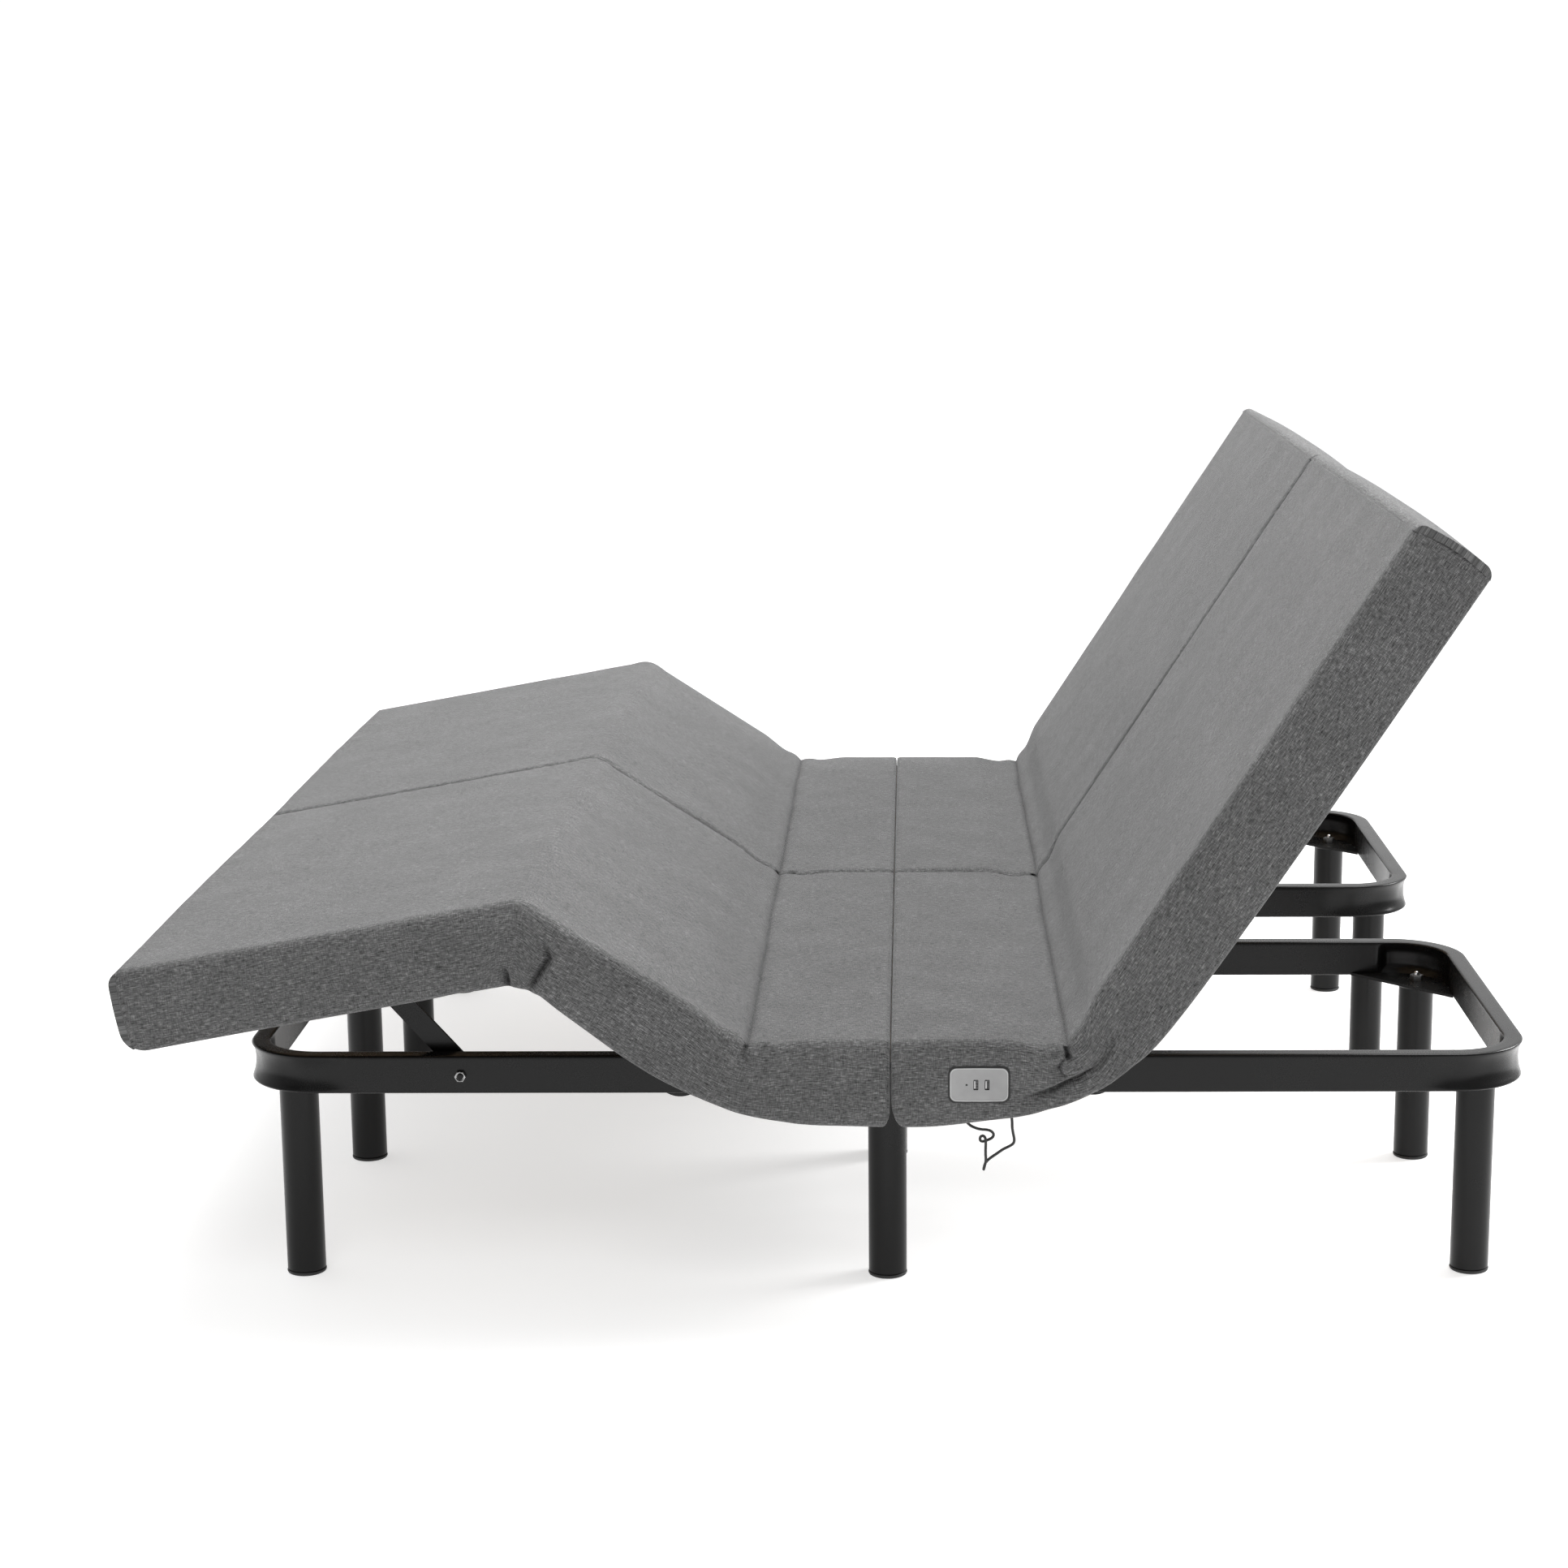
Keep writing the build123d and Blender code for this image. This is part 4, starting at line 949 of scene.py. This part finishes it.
def make_covers():
    for side in SIDES:
        calf = Cover(
            f"{side}_calf_and_knee_cover", side, (knee_x, knee_z, thigh_hinge_x - thigh_length),
            (calf_slope, -thigh_angle), 35.0, (-calf_length + slab_lap, mid_thigh),
            calf_hem, knee_folds, (foot_end, None), 0.0)
        thigh = Cover(
            f"{side}_thigh_and_seat_cover", side, (thigh_hinge_x, hinge_z, thigh_hinge_x),
            (-thigh_angle, 0.0), 80.0, (mid_thigh - thigh_length, seat_foot_end["outline"]),
            thigh_hem, thigh_folds, (None, seat_foot_end), 5.0)
        back = Cover(
            f"{side}_seat_and_back_cover", side, (back_hinge_x, hinge_z, back_hinge_x),
            (0.0, back_angle), 65.0, (seat_head_end["outline"], back_length - slab_lap),
            back_hem, back_folds, (seat_head_end, head_end), 6.0)
        for cover, low_body, high_body, nodes in (
            (calf, f"{side}_calf", f"{side}_thigh", [f"{side}_calf_cover", f"{side}_thigh_cover"]),
            (thigh, f"{side}_thigh", "frame", [f"{side}_thigh_cover", "seat_covers"]),
            (back, "frame", f"{side}_back", [f"{side}_back_cover", "seat_covers"]),
        ):
            piece = cover.build()
            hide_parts(*nodes)
            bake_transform(piece)


# ---------------------------------------------------------------- charging panels
def rounded_outline(half_x, half_z, radius, count=8):
    """Corners of a rounded rectangle, anticlockwise."""
    points = []
    for cx, cz, start in ((1, 1, 0), (-1, 1, 90), (-1, -1, 180), (1, -1, 270)):
        for a in np.radians(np.linspace(start, start + 90, count)):
            across, up = radius * math.cos(a), radius * math.sin(a)
            points.append((cx * (half_x - radius) + across, cz * (half_z - radius) + up))
    return np.array(points)


def even_outline(half_x, half_z, radius, bow, count=120):
    """A rounded rectangle with evenly spaced points, whose edges bow outward by a little."""
    corners = rounded_outline(half_x, half_z, radius, 12)
    closed = np.concatenate([corners, corners[:1]])
    steps = np.concatenate([[0], np.cumsum(np.hypot(*np.diff(closed, axis=0).T))])
    even = np.linspace(0, steps[-1], count, endpoint=False)
    points = np.stack([np.interp(even, steps, closed[:, 0]), np.interp(even, steps, closed[:, 1])], 1)
    shape = points.copy()
    shape[:, 1] += np.sign(points[:, 1]) * bow * np.clip(1 - (points[:, 0] / half_x) ** 2, 0, 1)
    shape[:, 0] += np.sign(points[:, 0]) * bow * 0.6 * np.clip(1 - (points[:, 1] / half_z) ** 2, 0, 1)
    return shape


def on_wall(side, outline, depth):
    """Outline points on a base's outer side wall; depth is out of the wall."""
    y = unit_y(side) + SIDES[side] * (deck_half + depth)
    mirror = -SIDES[side]
    return [(middle_x + panel_x + mirror * u, y, panel_z + v) for u, v in outline]


def scaled(outline, inset):
    half = np.abs(outline).max(0)
    return outline * (1 - inset / half)


def make_panels():
    rims, plates, shells, tongues, lamps, gasket_and_gap_shade_pieces = [], [], [], [], [], []
    outer = even_outline(panel_length / 2, panel_height / 2 - 0.6, 7.5, 0.6)
    for side in SIDES:
        rims.append(wall_loft(side, outer, 0.0, [
            (0.3, -9), (0.3, 0.5), (0.4, 1.3), (0.7, 1.8), (1.2, 2.0), (1.6, 1.9), (1.8, 1.4), (1.8, -2.0)]))
        # the dark ring round the rim is a gasket and also stands in for the shadow in the gap between panel
        # and cover, as painted shade
        gasket_and_gap_shade_pieces.append(wall_loft(side, outer, 0.0, [
            (-1.9, -8), (-1.9, 0.9), (-1.4, 1.3), (0.6, 1.3), (0.6, -8)]))
        plate, pockets = face_plate(side, outer)
        plates.append(plate)
        gasket_and_gap_shade_pieces += pockets
        for u in port_places:
            slot = rounded_outline(port_width / 2, port_height / 2, 0.9, 4)
            shells.append(wall_loft(side, slot, u, [
                (0.0, -8.5), (0.0, 0.9), (0.2, 1.0), (0.4, 0.9), (0.4, -8.5)]))
            tongue = rounded_outline(0.75, port_height / 2 - 1.8, 0.3, 3)
            tongues.append(wall_loft(side, tongue, u - 1.3, [(0, -8.5), (0, 1.1), (0.2, 1.3)]))
        lens = rounded_outline(1.2, 1.2, 1.19, 6)
        lamps.append(wall_loft(side, lens, lamp_place, [(0, -3), (0, 1.0), (0.3, 1.25)]))
    new_piece("panel_rims", *joined(rims), "panel_rim", "frame", slot="panel_silver", replaces=["usb_panels"])
    new_piece("panel_plates", *joined(plates), "panel_silver", "frame", replaces=["usb_panels"])
    new_piece("panel_gaskets_and_gap_shade", *joined(gasket_and_gap_shade_pieces), "gasket_black", "frame", slot="control_plastic",
              replaces=["usb_panels"])
    new_piece("port_shells", *joined(shells), "port_metal", "frame", replaces=["usb_ports"])
    new_piece("port_tongues", *joined(tongues), "port_tongue", "frame", slot="port_metal",
              replaces=["usb_ports"])
    new_piece("panel_lamps", *joined(lamps), "gasket_black", "frame", slot="control_plastic",
              replaces=["usb_ports"])


def wall_loft(side, outline, u, profile):
    """A skin over one outline set in by each inset and standing out by each depth, about u on the panel."""
    rings = [on_wall(side, scaled(outline, inset) + (u, 0), depth) for inset, depth in profile]
    return loft(rings)


def plate_faces(outer, holes):
    """Triangles filling an outline around its holes."""
    loops = [outer] + holes
    points = [Vector(p) for loop in loops for p in loop]
    edges, first = [], 0
    for loop in loops:
        edges += [(first + i, first + (i + 1) % len(loop)) for i in range(len(loop))]
        first += len(loop)
    corners, _, faces = delaunay_2d_cdt(points, edges, [], 1, 1e-5)[:3]
    kept = []
    for face in faces:
        centre = sum((corners[i] for i in face), Vector((0, 0))) / len(face)
        inside = [all(abs(np.array(centre) - hole.mean(0)) < np.ptp(hole, 0) / 2) for hole in holes]
        if not any(inside):
            kept.append(tuple(face))
    return np.array([tuple(p) for p in corners]), kept


def face_plate(side, outer):
    """The panel's face with two slots and a lamp hole, each a pocket with its own floor."""
    front = panel_face
    slot_outline = rounded_outline(port_width / 2 + 0.15, port_height / 2 + 0.15, 1.0, 4)
    holes = [slot_outline + (u, 0) for u in port_places]
    holes.append(rounded_outline(1.35, 1.35, 1.34, 6) + (lamp_place, 0))
    flat, faces = plate_faces(scaled(outer, 1.7), holes)
    pockets = []
    for hole in holes:
        skin, quads = loft([on_wall(side, hole, front - 0.4), on_wall(side, hole, front - pocket_depth)])
        pockets.append((skin, quads[:-2] + quads[-1:]))
    return (on_wall(side, flat, front), faces), pockets


# ---------------------------------------------------------------- CAD nodes that stay, with their finishes
finishes = {
    "frame_black": ["splice_sleeves", "corner_plates", "cross_tubes", "actuator_clevises", "shaft_bearings",
                    "connector_bars", "seat_frames"],
    "zinc_steel": ["leg_nuts", "seat_hinge_pins"],
    "deck_board": ["seat_boards"],
    "control_plastic": ["control_boxes"],
}
side_finishes = {
    "frame_black": [
        "thigh_frame", "calf_frame", "back_frame", "calf_links", "head_lift_arm", "foot_lift_arm",
    ],
    "zinc_steel": ["knee_pins"],
    "deck_board": ["thigh_board", "calf_board", "back_board"],
    "roller_plastic": ["head_rollers", "foot_rollers"],
    "actuator_plastic": ["head_actuator", "foot_actuator"],
    "rod_steel": ["head_actuator_rod", "foot_actuator_rod"],
}


def finish_node(name, material):
    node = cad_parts[name]
    if not node.material_slots:
        node.data.materials.append(materials[material])
    for slot in node.material_slots:
        slot.material = materials[material]


def finish_nodes():
    for material, names in finishes.items():
        for name in names:
            finish_node(name, material)
    for side in SIDES:
        for material, names in side_finishes.items():
            for name in names:
                finish_node(f"{side}_{name}", material)


# ---------------------------------------------------------------- floor and light
def make_stage():
    floor_mesh = bpy.data.meshes.new("floor")
    floor_mesh.from_pydata([(-30, -30, 0), (30, -30, 0), (30, 30, 0), (-30, 30, 0)], [], [(0, 1, 2, 3)])
    floor = bpy.data.objects.new("floor", floor_mesh)
    bpy.context.collection.objects.link(floor)
    m = Nodes("floor", grey(0.6), 0.7)
    m.into("Roughness", m.span(m.noise(3.0, m.place()), 0.3, 0.7, 0.65, 0.8))
    m.set(Specular_IOR_Level=0.15, Emission_Color=(1, 1, 1, 1), Emission_Strength=0.6)
    floor_mesh.materials.append(m.material)
    make_world()
    bpy.context.scene.view_settings.view_transform = "Standard"
    for name, place, aim, size, power in (
        ("overhead", (0.6, 0.9, 4.6), (0, 0, 0.3), 3.6, 280),
        ("front", (-0.8, -3.9, 3.9), (0, 0, 0.3), 1.6, 60),
        ("head", (4.2, 1.2, 3.0), (0.6, 0, 0.6), 2.0, 260),
    ):
        light = bpy.data.objects.new(name, bpy.data.lights.new(name, "AREA"))
        light.data.shape = "SQUARE"
        light.data.size = size
        light.data.energy = power
        light.location = place
        light.rotation_euler = (Vector(aim) - Vector(place)).to_track_quat("-Z", "Y").to_euler()
        bpy.context.collection.objects.link(light)


def make_world():
    """White studio surround, dimmer in front of the beds than behind them, with a plain white backdrop."""
    world = bpy.data.worlds.new("studio")
    world.use_nodes = True
    tree = world.node_tree
    background = tree.nodes["Background"]
    background.inputs["Color"].default_value = (1, 1, 1, 1)
    place = tree.nodes.new("ShaderNodeTexCoord")
    split = tree.nodes.new("ShaderNodeSeparateXYZ")
    tree.links.new(place.outputs["Generated"], split.inputs["Vector"])
    span = tree.nodes.new("ShaderNodeMapRange")
    for name, value in (("From Min", -0.6), ("From Max", 0.5), ("To Min", 0.35), ("To Max", 1.05)):
        span.inputs[name].default_value = value
    tree.links.new(split.outputs["Y"], span.inputs["Value"])
    path = tree.nodes.new("ShaderNodeLightPath")
    shown = tree.nodes.new("ShaderNodeMath")
    shown.operation = "MAXIMUM"
    tree.links.new(span.outputs["Result"], shown.inputs[0])
    tree.links.new(path.outputs["Is Camera Ray"], shown.inputs[1])
    tree.links.new(shown.outputs["Value"], background.inputs["Strength"])
    bpy.context.scene.world = world


make_frame()
make_legs()
make_bolts()
make_covers()
make_panels()
finish_nodes()
make_stage()
